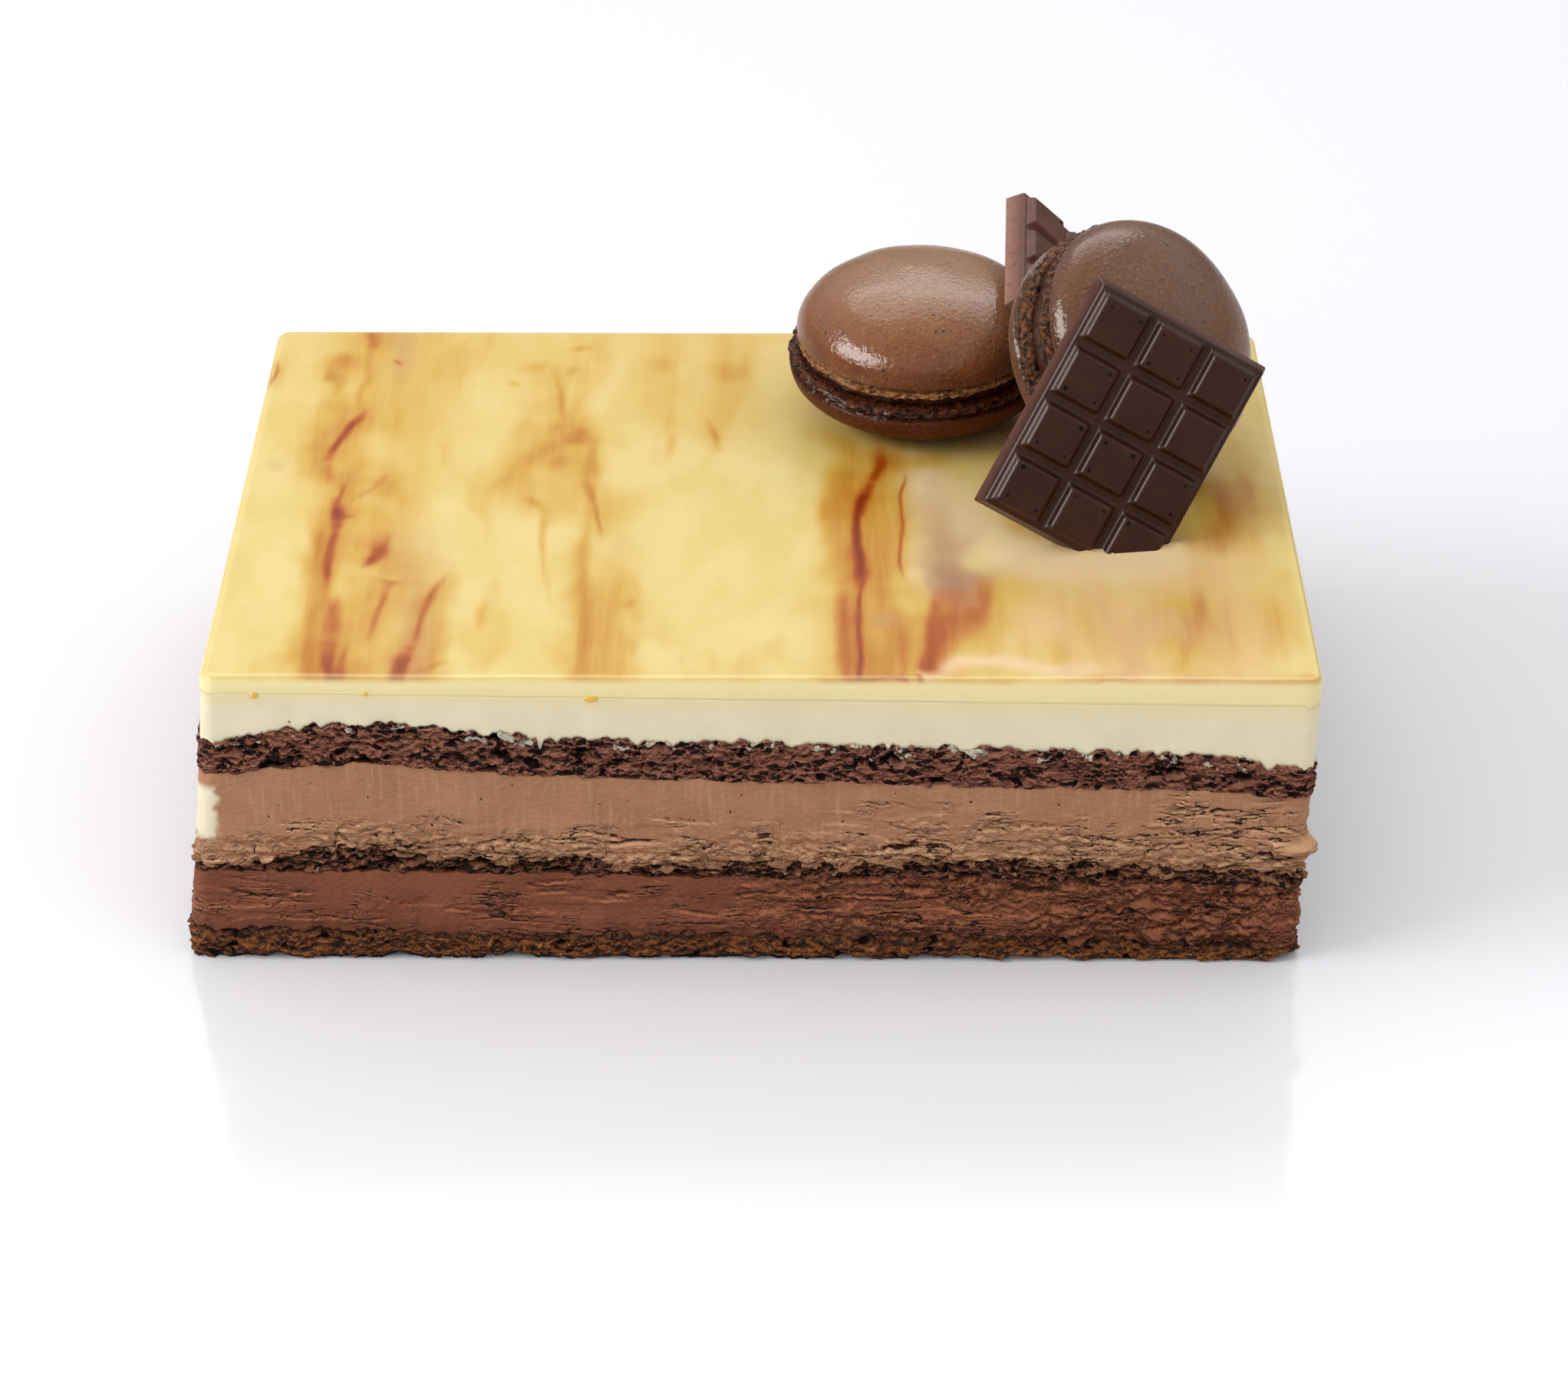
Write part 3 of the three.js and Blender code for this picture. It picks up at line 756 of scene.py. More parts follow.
# %% Glaze blank
GLAZE_LIP = 1.1
LIP_DROP = 2.0
LIP_STEPS = 10
ROLL_SHARE = 0.6
GLAZE_GRID = (500, 150)
FINE_BANDS = ((-69, 17), (28, 18))
DIP_MIDDLE, DIP_SIZE = (40, -46), (11, 16)
TABLET_FOOT = np.array([[62.1, -23.6], [79.4, -21.0]])


def glaze_blank():
    bm = bmesh.new()
    bmesh.ops.create_grid(bm, x_segments=GLAZE_GRID[0], y_segments=GLAZE_GRID[1], size=0.5)
    ring = bm.verts.layers.float.new("ring")
    for step in range(1, LIP_STEPS + 2):
        made = bmesh.ops.extrude_edge_only(bm, edges=open_edges(bm.edges))["geom"]
        for vert in only(BMVert, made):
            vert[ring] = step
    bmesh.ops.edgeloop_fill(bm, edges=open_edges(bm.edges))
    bmesh.ops.recalc_face_normals(bm, faces=bm.faces)
    return bm


def crowded(share, half):
    """Places of the grid's columns from -half to half, close together where the fine strokes are."""
    x = np.linspace(-half, half, 2001)
    fine = np.any([np.abs(x - middle) < reach for middle, reach in FINE_BANDS], axis=0)
    travel = np.cumsum(np.where(fine, 2.0, 1.0))
    travel = (travel - travel[0]) / (travel[-1] - travel[0])
    return np.interp(share, travel, x)


def round_corners(flat, half_x, half_y, radius):
    """Moves a rectangle's points so that its corners are round, and gives the outward directions."""
    core = np.array([half_x - radius, half_y - radius])
    past = np.clip(np.abs(flat) - core, 0, None) / radius
    bent = past * np.sqrt(1 - past[:, ::-1] ** 2 / 2)
    placed = np.sign(flat) * (np.minimum(np.abs(flat), core) + radius * bent)
    out = np.sign(flat) * bent
    return placed, out / np.maximum(np.linalg.norm(out, axis=1, keepdims=True), 1e-6)


def to_line(flat, start, end):
    """How far along a line each point lies, from 0 to 1, and how far it is from the line."""
    way = end - start
    share = np.clip((flat - start) @ way / (way @ way), 0, 1)
    return share, np.linalg.norm(flat - start - share[:, None] * way, axis=1)


print("glaze blank ready")

# %% [markdown]
# The strokes of each tint: a half width in mm, a strength, and the path that the caramel took, from the back
# of the cake to the front. Brown strokes are thick caramel and get a thinner amber edge by themselves.
# A stroke is densest along its path and thins out at its ends, and where strokes cross they add up like
# washes of paint: each lets through a share of what lies under it, so no place gets more than all of a tint.
# Some strokes are painted light, not caramel: warm light round the toppings, the leaning macaron's
# reflection, light over the tablet's shade and a bright reflection along the front edge.

# %% Marbling strokes
STROKES = {
    "amber": [
        (6.0, 0.32, [(-77, 80), (-77, 30), (-76, 0), (-76, -40), (-74, -80)]),
        (7.0, 0.34, [(-69, 80), (-68, 30), (-67, 0), (-66, -30), (-66, -80)]),
        (7.0, 0.26, [(-27, 10), (-25, -30), (-24, -80)]),
        # The next two: painted warm light beside and in front of the tablet.
        (14.0, 0.36, [(55, -20), (58, -46), (60, -84)]),
        (10.0, 0.36, [(84, -20), (84, -46), (84, -84)]),
        (5.0, 0.3, [(-62, -22), (-60, -73)]),
        (5.0, 0.28, [(-41, 64), (-38, 30)]),
        (7.0, 0.3, [(-37, 20), (-37, -20)]),
        (5.0, 0.3, [(-30, -20), (-28, -73)]),
        (6.0, 0.28, [(-5, 70), (-6, 20)]),
        (4.0, 0.25, [(-19, 70), (-18, 20)]),
        (7.0, 0.35, [(22, 20), (22, -30), (22, -73)]),
        (1.0, 0.7, [(-78, 60), (-77.5, 50), (-78.5, 42), (-78, 36)]),
        (1.0, 0.8, [(-78, -36), (-78, -50)]),
        (3.0, 0.45, [(-70, 10), (-69, 1), (-68, -8)]),
        (3.0, 0.6, [(-57, -42), (-58, -56), (-58, -73)]),
        (4.0, 0.45, [(-75, -46), (-74, -73)]),
        (3.2, 0.8, [(-84, 63), (-83, 57), (-83.5, 51)]),
        (1.0, 0.6, [(-85, 52), (-85, 47)]),
        (0.9, 0.6, [(-82.5, 50), (-83, 44)]),
        (2.8, 0.65, [(-82, 42), (-82, 30), (-84, 20), (-83, 6), (-82, -4)]),
        (1.9, 0.95, [(-81, -8), (-80.5, -25), (-80, -40), (-79, -55), (-77.5, -72)]),
        (1.0, 0.7, [(-61, -71), (-58, -70), (-55, -67), (-52, -66)]),
        (1.2, 0.35, [(-60, 25), (-59, 8)]),
        (3.0, 0.85, [(-36, 28), (-34, 24), (-32, 22)]),
        (2.8, 0.7, [(-37, 24), (-42, 16), (-45, 10), (-46, 5), (-47, -6)]),
        (3.5, 0.5, [(-36, 20), (-36, 8)]),
        (2.0, 0.75, [(-31, 22), (-31, 12), (-31, 0)]),
        (1.5, 0.65, [(-31, -10), (-31, -25), (-30, -40), (-29.5, -73)]),
        (4.5, 0.4, [(-27, -42), (-26, -73)]),
        (1.2, 0.75, [(-43.5, -2.5), (-41, -5), (-39.5, -8)]),
        (0.7, 0.5, [(-39.5, -8), (-38, -30), (-36, -48)]),
        (4.5, 0.35, [(-45, 12), (-45, -14)]),
        (0.9, 0.6, [(-48, -42), (-48.5, -50), (-49, -55)]),
        (0.8, 0.6, [(-22, -42), (-22.7, -48)]),
        (0.8, 0.65, [(-41, 61), (-40, 52), (-38.5, 44), (-38, 34), (-37, 28)]),
        (2.4, 0.5, [(-46, 60), (-42, 53)]),
        (0.9, 0.55, [(-49, 49), (-46, 46)]),
        (1.0, 0.5, [(-36, 56), (-37, 50)]),
        (1.6, 0.6, [(-35, 66), (-35, 62)]),
        (2.5, 0.5, [(-19.5, 62), (-19, 51)]),
        (4.0, 0.5, [(-5, 62), (-4, 46)]),
        (0.9, 0.6, [(-11, 36), (-9, 30), (-7.5, 24), (-6.5, 18)]),
        (0.8, 0.35, [(-16.5, 30), (-15.5, 12)]),
        (3.0, 0.75, [(17, 20), (16.5, 0), (17, -34)]),
        (4.0, 0.6, [(25, 10), (24.5, -34)]),
        (4.5, 0.7, [(25, -36), (25, -73)]),
        (0.8, 0.5, [(34, 9), (35.5, 2), (38.5, -1)]),
        (1.6, 0.7, [(45, -41), (46, -52), (45, -59)]),
        (1.5, 0.6, [(84, -34), (82, -48), (79, -58), (77, -68)]),
        (12.0, 0.55, [(52, -58), (106, -48)]),
        # Painted warm light thrown onto the glaze by the flat macaron, round its front.
        (3.5, 0.5, [(10, 34), (14, 25), (21, 18), (31, 14), (44, 15)]),
        # Painted reflection of the leaning macaron in the glaze, right of the front tablet.
        (7.0, 0.75, [(88, 16), (91, -6), (86, -28)]),
        (4.0, 0.45, [(44, -2), (52, -14), (60, -22)]),
        (1.2, 0.8, [(58, -72), (101, -72.2)]),
    ],
    "brown": [
        (1.5, 0.55, [(-78.5, 73), (-77.8, 66), (-78, 60)]),
        (1.2, 0.85, [(-77, 34), (-78, 30), (-80, 24), (-81.5, 19), (-82, 14)]),
        (1.5, 0.5, [(-82, 14), (-81, 6), (-81, 0)]),
        (0.6, 0.6, [(-77.5, 6), (-78, 1), (-78.5, -4)]),
        (1.6, 1.0, [(-79, -3), (-78, -10), (-78, -15)]),
        (0.9, 0.8, [(-78, -14), (-78.5, -28), (-78, -38)]),
        (1.2, 0.4, [(-78, -10), (-75.5, -10.8), (-73.5, -11.5)]),
        (1.1, 0.35, [(-77, -5), (-75, -2), (-72, 2), (-70, 8), (-71, 11)]),
        (1.9, 0.8, [(-68, -18), (-69.3, -26), (-73, -34)]),
        (1.8, 0.5, [(-65, -34.5), (-66, -38)]),
        (1.0, 0.55, [(-66, -38), (-67.5, -48), (-68, -56), (-69, -64)]),
        (1.0, 0.6, [(-54.5, -30), (-56.5, -36), (-58, -42), (-59, -48), (-61, -62)]),
        (1.7, 0.85, [(-61, -62), (-62, -68), (-62.5, -73)]),
        (1.6, 0.6, [(-75.5, -38), (-76, -45), (-75.5, -52), (-75, -60)]),
        (1.7, 0.85, [(-75, -60), (-74.5, -68), (-73.5, -73)]),
        (0.8, 0.5, [(-71.5, -55), (-72, -64), (-72, -73)]),
        (0.6, 0.6, [(-73.5, 58), (-72, 56), (-70.5, 54.5)]),
        (0.6, 0.7, [(-95.5, 60), (-95.5, 52), (-96.5, 46), (-97, 42)]),
        (1.6, 0.35, [(-37.5, 26), (-36, 22), (-34, 21), (-31, 24)]),
        (1.5, 0.5, [(-31.5, 9), (-31, 0), (-30.5, -8)]),
        (0.5, 0.5, [(-30, -6), (-29, -15), (-28, -22)]),
        (1.6, 0.75, [(24, 21), (24.5, 14), (23, 8), (22, 3)]),
        (1.2, 1.0, [(22.3, 4), (21, -3), (20.4, -10), (20, -20), (20.4, -30), (20.5, -38)]),
        (0.5, 0.8, [(20.5, -36), (20, -48), (19.6, -60), (19.5, -73)]),
        (2.4, 0.55, [(17.3, -36), (17.5, -50), (17.3, -73)]),
        (1.4, 0.4, [(27.5, -46), (27.5, -73)]),
        (0.5, 0.6, [(30, 15), (29.5, 6), (28.5, 0), (28, -10), (28, -28), (29, -36), (30, -40)]),
        (3.4, 0.52, [(39.5, -32), (38, -48), (35, -58), (32.5, -68)]),
        (1.8, 0.5, [(35.5, -40), (33.5, -56), (32, -67)]),
        (2.2, 0.5, [(43.5, -28), (43, -43), (39, -58)]),
        # Painted reflection of the leaning macaron in the glaze, right of the front tablet.
        (6.0, 0.3, [(90, 14), (91, -6), (86, -26)]),
        (0.5, 0.7, [(13, -72.3), (28, -72.6)]),
        (0.7, 0.8, [(30.3, -71), (31, -73)]),
        (0.4, 0.7, [(33, -73.2), (47, -73.2)]),
        (0.5, 0.4, [(60, -72.6), (98, -72.4)]),
    ],
    "plum": [
        (6.0, 0.32, [(-63, -6), (-61, -36), (-60, -80)]),
        (2.0, 0.3, [(-66, -19), (-68, -23)]),
        (3.5, 0.4, [(-71.5, 73), (-71.5, 42)]),
        (2.5, 0.35, [(-92, 17), (-91, 7)]),
        (2.5, 0.25, [(-24, -15), (-24, -28)]),
        (2.5, 0.4, [(24, -46), (24, -56)]),
        (6.0, 0.5, [(34, 4), (35, -18), (36, -38)]),
        (4.4, 0.85, [(35, -24), (38, -36), (40, -52)]),
        (6.0, 0.4, [(35, -8), (37, -26), (40, -44)]),
        (1.2, 0.25, [(57, -34), (57.5, -68)]),
        (1.2, 0.25, [(64, -36), (64, -68)]),
        (1.8, 0.3, [(70, -36), (71, -68)]),
    ],
    "pale": [
        (3.2, 0.7, [(32, 13), (33, 5), (34, 0), (36, -4)]),
        # This and the next two: painted light over the tablet's shade, beside and in front of it.
        (6.0, 0.7, [(33, 16), (36, -4), (44, -18)]),
        (9.0, 0.9, [(44, -20), (60, -30), (84, -26)]),
        (6.0, 0.5, [(52, -34), (52, -66)]),
        # Painted reflection: a bright streak along the front edge.
        (2.4, 0.85, [(32, -70), (38, -66), (45, -66), (60, -68)]),
        # These two: painted light over the tablet's shade in front of it.
        (10.0, 0.55, [(66, -34), (68, -70)]),
        (8.0, 0.4, [(86, -30), (88, -70)]),
    ],
}
RUNS_OFF = 66
MEETING = 2.5


def stroke_end(place):
    """How much of a stroke is left at its end, and over how many mm it fades to that."""
    if abs(place[1]) > RUNS_OFF:
        return 1.0, 1.0
    ends = [path[end] for strokes in STROKES.values() for *_, path in strokes for end in (0, -1)]
    meets = sum(math.dist(place, end) < MEETING for end in ends) > 1
    return (0.5, 6.0) if meets else (0.1, 14.0)


def stroke_strength(flat, path, width):
    """How much of a stroke's colour lies at each point: full along its path, less at its ends."""
    path = np.array(path, float)
    lengths = np.linalg.norm(np.diff(path, axis=0), axis=1)
    nearest = np.full(len(flat), np.inf)
    along = np.zeros(len(flat))
    for step, (start, end) in enumerate(zip(path[:-1], path[1:])):
        share, away = to_line(flat, start, end)
        closer = away < nearest
        nearest = np.where(closer, away, nearest)
        along = np.where(closer, lengths[:step].sum() + share * lengths[step], along)
    strength = np.exp(-((nearest / width) ** 2))
    for place, travelled in ((path[0], along), (path[-1], lengths.sum() - along)):
        left, fade = stroke_end(place)
        strength = strength * (left + (1 - left) * ease(0, min(fade, 0.45 * lengths.sum()), travelled))
    return strength


def marbling(flat):
    """The amount of each tint at points of the glaze."""
    level = np.column_stack([flat, np.zeros(len(flat))])
    sway = np.column_stack([rough(level, (10, 26, 9), 121, 2, 0.4), 3 * noise(level, (10, 26, 9), 127)])
    bent = flat + 0.8 * sway
    bent[:, 0] += 0.25 * noise(level, (3, 7, 9), 125)
    swell = np.exp(0.4 * rough(level, (8, 12, 9), 129, 2))
    smoke = np.clip(0.9 + 0.4 * rough(level, (4.4, 30, 9), 131, 2, 0.45), 0.3, 1.4)
    tints = {tint: np.zeros(len(flat)) for tint in STROKES}

    def wash(tint, amount):
        tints[tint] = 1 - (1 - tints[tint]) * (1 - np.clip(amount, 0, 1))

    for tint, strokes in STROKES.items():
        for width, strength, path in strokes:
            amount = strength * stroke_strength(bent, path, 1.1 * width * swell)
            wash(tint, amount * smoke if tint == "amber" else amount)
            if tint == "brown":
                wash("amber", 0.7 * strength * stroke_strength(bent, path, 3.3 * width * swell))
    drift = ease(0.1, 0.9, rough(level, (14, 46, 9), 137, 4, 0.55))
    wash("amber", 0.3 * drift * smoke)
    wash("amber", 0.2 * ease(-30, 70, flat[:, 1]))
    return tints


# %% Glaze
glaze = Finish("mirror glaze", 0.22, 0.14, (231, 207, 136))
glaze.dial(IOR=1.5, Subsurface_Weight=0.1, Subsurface_Radius=(0.003, 0.0015, 0.0008))
fibre = glaze.noise(1.1, detail=4, stretch=(1, 18, 1))
amber = glaze.times("amber", glaze.step(fibre, 0.35, 0.65, 0.9, 1.0))
brown = glaze.times("brown", glaze.step(fibre, 0.3, 0.7, 0.88, 1.0))
glaze.over(glaze.noise(12.0, stretch=(1, 2, 1)), 0.35, 0.65, (224, 198, 118))
glaze.over(amber, 0.0, 0.6, (213, 170, 76))
glaze.over(amber, 0.45, 1.0, (190, 122, 32))
glaze.over("pale", 0.0, 1.0, (242, 210, 170), 0.75)
glaze.over("plum", 0.0, 0.7, (196, 154, 122), 0.5)
glaze.over("plum", 0.4, 1.0, (152, 100, 76), 0.8)
glaze.over(brown, 0.08, 0.7, (184, 92, 20))
glaze.over(brown, 0.4, 1.05, (130, 44, 6))
# Paler on the lip and near the edge: partly thin glaze over the white mousse, partly painted light on the
# lip's front.
glaze.over("veil", 0.05, 0.5, (249, 232, 174))

mesh, blank = to_mesh(glaze_blank(), "glaze_detail")
ring = np.empty(len(blank))
mesh.attributes["ring"].data.foreach_get("value", ring)
mesh.attributes.remove(mesh.attributes["ring"])
half_x, half_y = HALF_X - GLAZE_LIP, HALF_Y - GLAZE_LIP
flat = np.column_stack([crowded(blank[:, 0] + 0.5, half_x), 2 * half_y * blank[:, 1]])
flat, out = round_corners(flat, half_x, half_y, CORNER - GLAZE_LIP)
fall = np.clip(ring / LIP_STEPS, 0, 1)
roll = np.clip(fall / ROLL_SHARE, 0, 1) * np.pi / 2
inset = GLAZE_LIP * (1 - np.sin(roll)) + 0.08 * ease(0.7, 1.0, fall)
inset = np.where(ring > LIP_STEPS, CAP_INSET, inset)
flat = flat + out * (GLAZE_LIP - inset)[:, None]
level = np.column_stack([flat, np.zeros(len(flat))])
wave = 0.10 * noise(level, 30.0, 141) + 0.03 * noise(level, 11.0, 143)
creep = np.exp(-to_line(flat, *TABLET_FOOT)[1] / 1.6)
skin = GLAZE_TOP + wave - 0.35 * hill(flat, DIP_MIDDLE, DIP_SIZE) + 0.7 * creep
joint = joint_height("white", flat[:, 0], flat[:, 1])
turned = skin - LIP_DROP * (1 - np.cos(roll))
z = np.where(fall <= ROLL_SHARE, turned, turned + (joint - turned) * (fall - ROLL_SHARE) / (1 - ROLL_SHARE))
points = np.column_stack([spread(flat[:, 0], z), flat[:, 1], z])
brink = np.minimum(HALF_X - np.abs(flat[:, 0]), HALF_Y - np.abs(flat[:, 1]))
# Partly thin glaze over the white mousse, partly painted light on the lip's front.
veil = np.maximum(fall, 0.2 * ease(3.0, GLAZE_LIP, brink))
finish(mesh, points, glaze.material, "glaze", "glaze", capped=ring > LIP_STEPS, veil=veil,
       **marbling(points[:, :2]))

# %% [markdown]
# Three small drops of glaze have run down the front of the white mousse and set there.


# %% Glaze drops
def glaze_drops(places):
    bm = bmesh.new()
    for x, z, width, height in places:
        made = bmesh.ops.create_uvsphere(bm, u_segments=20, v_segments=12, radius=1.0)["verts"]
        for vert in made:
            vert.co.x *= 1 - 0.25 * vert.co.z
            vert.co.z -= 0.25 * (1 - vert.co.x**2)
        bmesh.ops.scale(bm, vec=(width / 2, 0.45, height / 2), verts=made)
        bmesh.ops.translate(bm, vec=(x, 0.12 - HALF_Y, z), verts=made)
    bmesh.ops.recalc_face_normals(bm, faces=bm.faces)
    return to_mesh(bm, "glaze_drops")


syrup = Finish("set syrup", 0.12, 0.5, (226, 178, 62))
syrup.over(syrup.noise(0.8), 0.3, 0.7, (240, 200, 96))
mesh, points = glaze_drops([(-87.8, 55.6, 1.7, 1.3), (-68.0, 56.0, 1.1, 0.9), (-27.9, 55.1, 2.6, 1.4)])
finish(mesh, points, syrup.material, None, "glaze")

# %% [markdown]
# ## Macarons
# A macaron shell is a smooth dome on a ruffled foot. Its outline is drawn once as a profile and spun round
# the axis, which makes an even mesh with no seam. Then the foot is crinkled by noise, and the whole shell
# is turned into place: the flat macaron lies on the glaze, and the other leans against it.


# %% Macaron shells and fillings
DOME_POWER = 2.2
FOOT_SETBACK = 1.3
FOOT_REACH = 6
FILLING_RIM = 4


def profile_spin(profile, turns):
    """Spins a profile of (radius, height) pairs into a closed shape."""
    bm = bmesh.new()
    corners = [bm.verts.new((radius, 0, height)) for radius, height in profile]
    for first, second in zip(corners, corners[1:]):
        bm.edges.new((first, second))
    bmesh.ops.spin(
        bm, geom=bm.verts[:] + bm.edges[:], cent=(0, 0, 0), axis=(0, 0, 1),
        angle=2 * math.pi, steps=turns, use_merge=True,
    )
    bmesh.ops.remove_doubles(bm, verts=bm.verts, dist=1e-4)
    bmesh.ops.recalc_face_normals(bm, faces=bm.faces)
    return bm


def shell_profile(radius, dome, foot):
    rows = [(0, 0), (radius * 0.5, 0)]
    rows += [(across, 0) for across in np.linspace(radius - FOOT_REACH, radius - FOOT_SETBACK - 0.4, 11)]
    for share in np.linspace(0, 1, 15):
        bulge = math.sin(math.pi * min(share * 1.15, 1)) ** 0.6
        rows.append((radius - FOOT_SETBACK * (1 - 0.85 * bulge), foot * share))
    for angle in np.radians(np.linspace(2, 90, 48)):
        across = max(math.cos(angle), 0) ** (2 / DOME_POWER)
        rows.append((radius * across, foot + dome * math.sin(angle) ** (2 / DOME_POWER)))
    rows[-1] = (0, foot + dome)
    return rows


def outward(points):
    """How far points are from the upright axis, and the level directions away from it."""
    across = np.hypot(points[:, 0], points[:, 1])
    return across, points[:, :2] / np.maximum(across, 1e-6)[:, None]


def lay(points, centre, axis):
    """Turns points from upright to a direction and carries them to a place."""
    turn = Vector((0, 0, 1)).rotation_difference(Vector(axis).normalized()).to_matrix()
    return points @ np.array(turn).T + np.array(centre)


def shell(macaron, part, material, seed, radius, dome, foot, lift):
    name = macaron["name"] + "_" + part + "_shell"
    mesh, points = to_mesh(profile_spin(shell_profile(radius, dome, foot), 300), name + "_detail")
    across, way = outward(points)
    frill = ease(1.3, 0.95, points[:, 2] / foot + 0.15 * noise(points, 3.0, seed + 9))
    frill = frill * ease(radius - FOOT_REACH, radius - FOOT_REACH + 2, across)
    ruffle = 1 - 2 * np.abs(rough(points, (1.7, 1.7, 1.1), seed, 3, 0.6))
    grains = bubbles(points, 0.95, seed + 5, 0.8, 0.3, 0.7)
    holes = bubbles(points, 1.3, seed + 1, 0.4, 0.2, 0.6)
    lumps = 0.45 * ruffle + 0.5 * noise(points, 4.0, seed + 2) + 0.4 * grains - 1.1 * holes
    push = frill * (lumps - 0.2) + (1 - frill) * 0.3 * noise(points, 15.0, seed + 3) * ease(3, 10, across)
    rise = (points[:, 2] - foot) / dome
    ledge = frill * ease(0.3, 0.0, points[:, 2] / foot)
    points[:, :2] += way * (push * (1 - ledge))[:, None]
    dent = 0.2 * noise(points, 9.0, seed + 4) * ease(0.0, 0.3, rise)
    points[:, 2] += (1 - frill) * dent - 0.7 * ledge * lumps
    ridge = ease(-0.5, 1.0, ruffle + grains - 0.4)
    marks = {"frill": frill, "ridge": ridge, "pit": holes * frill, "rise": rise}
    points[:, 2] += lift
    if part == "lower":
        points = points * np.array([1, -1, -1])
    points = lay(points, macaron["centre"], macaron["axis"])
    return finish(mesh, points, material, name, "macaron_shell", **marks)


def filling(macaron, material, seed, radius, thick):
    name = macaron["name"] + "_filling"
    half = thick / 2 - 0.1
    profile = [(0, -half), (radius - FILLING_RIM, -half)]
    for angle in np.radians(np.linspace(-90, 90, 13)):
        profile.append((radius - half + half * math.cos(angle), half * math.sin(angle)))
    profile += [(radius - FILLING_RIM, half), (0, half)]
    mesh, points = to_mesh(profile_spin(profile, 240), name + "_detail")
    across, way = outward(points)
    rim = ease(radius - FILLING_RIM, radius - FILLING_RIM + 2, across)
    push = rim * (0.5 * rough(points, 5.0, seed, 3) + 0.25 * noise(points, 1.2, seed + 5))
    points[:, :2] += way * push[:, None]
    points = lay(points, macaron["centre"], macaron["axis"])
    return finish(mesh, points, material, name, "macaron_filling")


# %% [markdown]
# The baked shell is brown and leathery, with pinholes and a fine grain, and its skin shines a little. It is
# painted darker towards its rim and lighter towards its top, as shade and light fall on the dome, and its
# pinholes are painted dark as shade. Its foot is golden on the ridges, with painted shade in the hollows.
# The lower shell of the flat macaron is soaked with filling, so it is darker and its foot looks wet.
# A clear coat with a faint grain of its own gives the bright patch on a dome. Sheen, which shows at a slant
# only, gives the dry pale look along its edge. The foot has its own amount of coat, read from its mark.


# %% Macaron finishes
def shell_finish(name, rim, middle, top, ridge, hollow, sheen, foot_gloss, coat, foot_coat):
    baked = Finish(name, 0.45, 0.15, rim)
    baked.dial(Coat_Roughness=0.13, Sheen_Weight=sheen, Sheen_Roughness=0.4, Sheen_Tint=colour(255, 236, 212))
    # Painted shade towards the rim and painted light towards the top of the dome.
    uneven = baked.step(baked.noise(9.0, detail=4), 0.3, 0.7, -0.12, 0.12)
    rise = baked.maths("ADD", "rise", uneven)
    mottle = baked.noise(0.75, detail=4, roughness=0.68)
    baked.over(rise, 0.0, 0.45, middle)
    baked.over(rise, 0.45, 1.0, top)
    baked.over(mottle, 0.48, 0.3, rim, 0.75)
    baked.over(mottle, 0.56, 0.72, (194, 138, 86), 0.5)
    away, pick = baked.dots(3.0)
    # Pinholes painted dark as shade.
    pinhole = baked.times(baked.step(away, 0.12, 0.08), baked.step(pick, 0.56, 0.58))
    baked.wash(pinhole, (30, 13, 6))
    skin = baked.paint
    # The foot: golden ridges, painted shade in the hollows and holes, painted light and shade on its crumbs.
    baked.set_paint(colour(*hollow))
    crust, way = baked.ledges(1.1, 0.6, (1, 1, 1), 0.35)
    baked.wash(baked.times("ridge", baked.step(crust, 0.35, 0.6, 0.3, 1.0)), ridge)
    baked.shade(way, 0.5, ridge, hollow)
    baked.over("pit", 0.2, 0.8, (30, 14, 6))
    on_foot = baked.step("frill", 0.3, 0.6)
    baked.set_paint(baked.mix(on_foot, skin, baked.paint))
    baked.dial(
        Roughness=baked.step("frill", 0.3, 0.6, 0.45, foot_gloss),
        Coat_Weight=baked.step("frill", 0.3, 0.6, coat, foot_coat),
    )
    baked.bump(baked.noise(0.8, detail=1), 0.1)
    baked.dial(Coat_Normal=baked.relief)
    baked.bump(mottle, 0.8)
    baked.bump(baked.times(crust, on_foot), 2.4)
    baked.bump(baked.step(pinhole, 0.0, 1.0, 1.0, 0.0), 0.25)
    return baked.material


golden_shell = shell_finish(
    "macaron shell", rim=(106, 49, 9), middle=(136, 74, 22), top=(150, 94, 44), ridge=(248, 170, 92),
    hollow=(138, 69, 26), sheen=0.4, foot_gloss=0.45, coat=0.6, foot_coat=0.12,
)
leaning_shell = shell_finish(
    "leaning macaron shell", rim=(92, 46, 14), middle=(116, 68, 33), top=(126, 82, 50), ridge=(180, 106, 49),
    hollow=(42, 18, 6), sheen=0.2, foot_gloss=0.45, coat=0.5, foot_coat=0.06,
)
soaked_shell = shell_finish(
    "soaked macaron shell", rim=(88, 33, 4), middle=(100, 42, 6), top=(100, 42, 6), ridge=(136, 60, 17),
    hollow=(40, 15, 4), sheen=0.0, foot_gloss=0.2, coat=0.1, foot_coat=0.2,
)

ganache = Finish("ganache", 0.5, 0.1, (42, 16, 6))
ganache.over(ganache.noise(2.0), 0.3, 0.7, (72, 33, 15))
ganache.bump(ganache.noise(0.7, detail=2), 0.15)

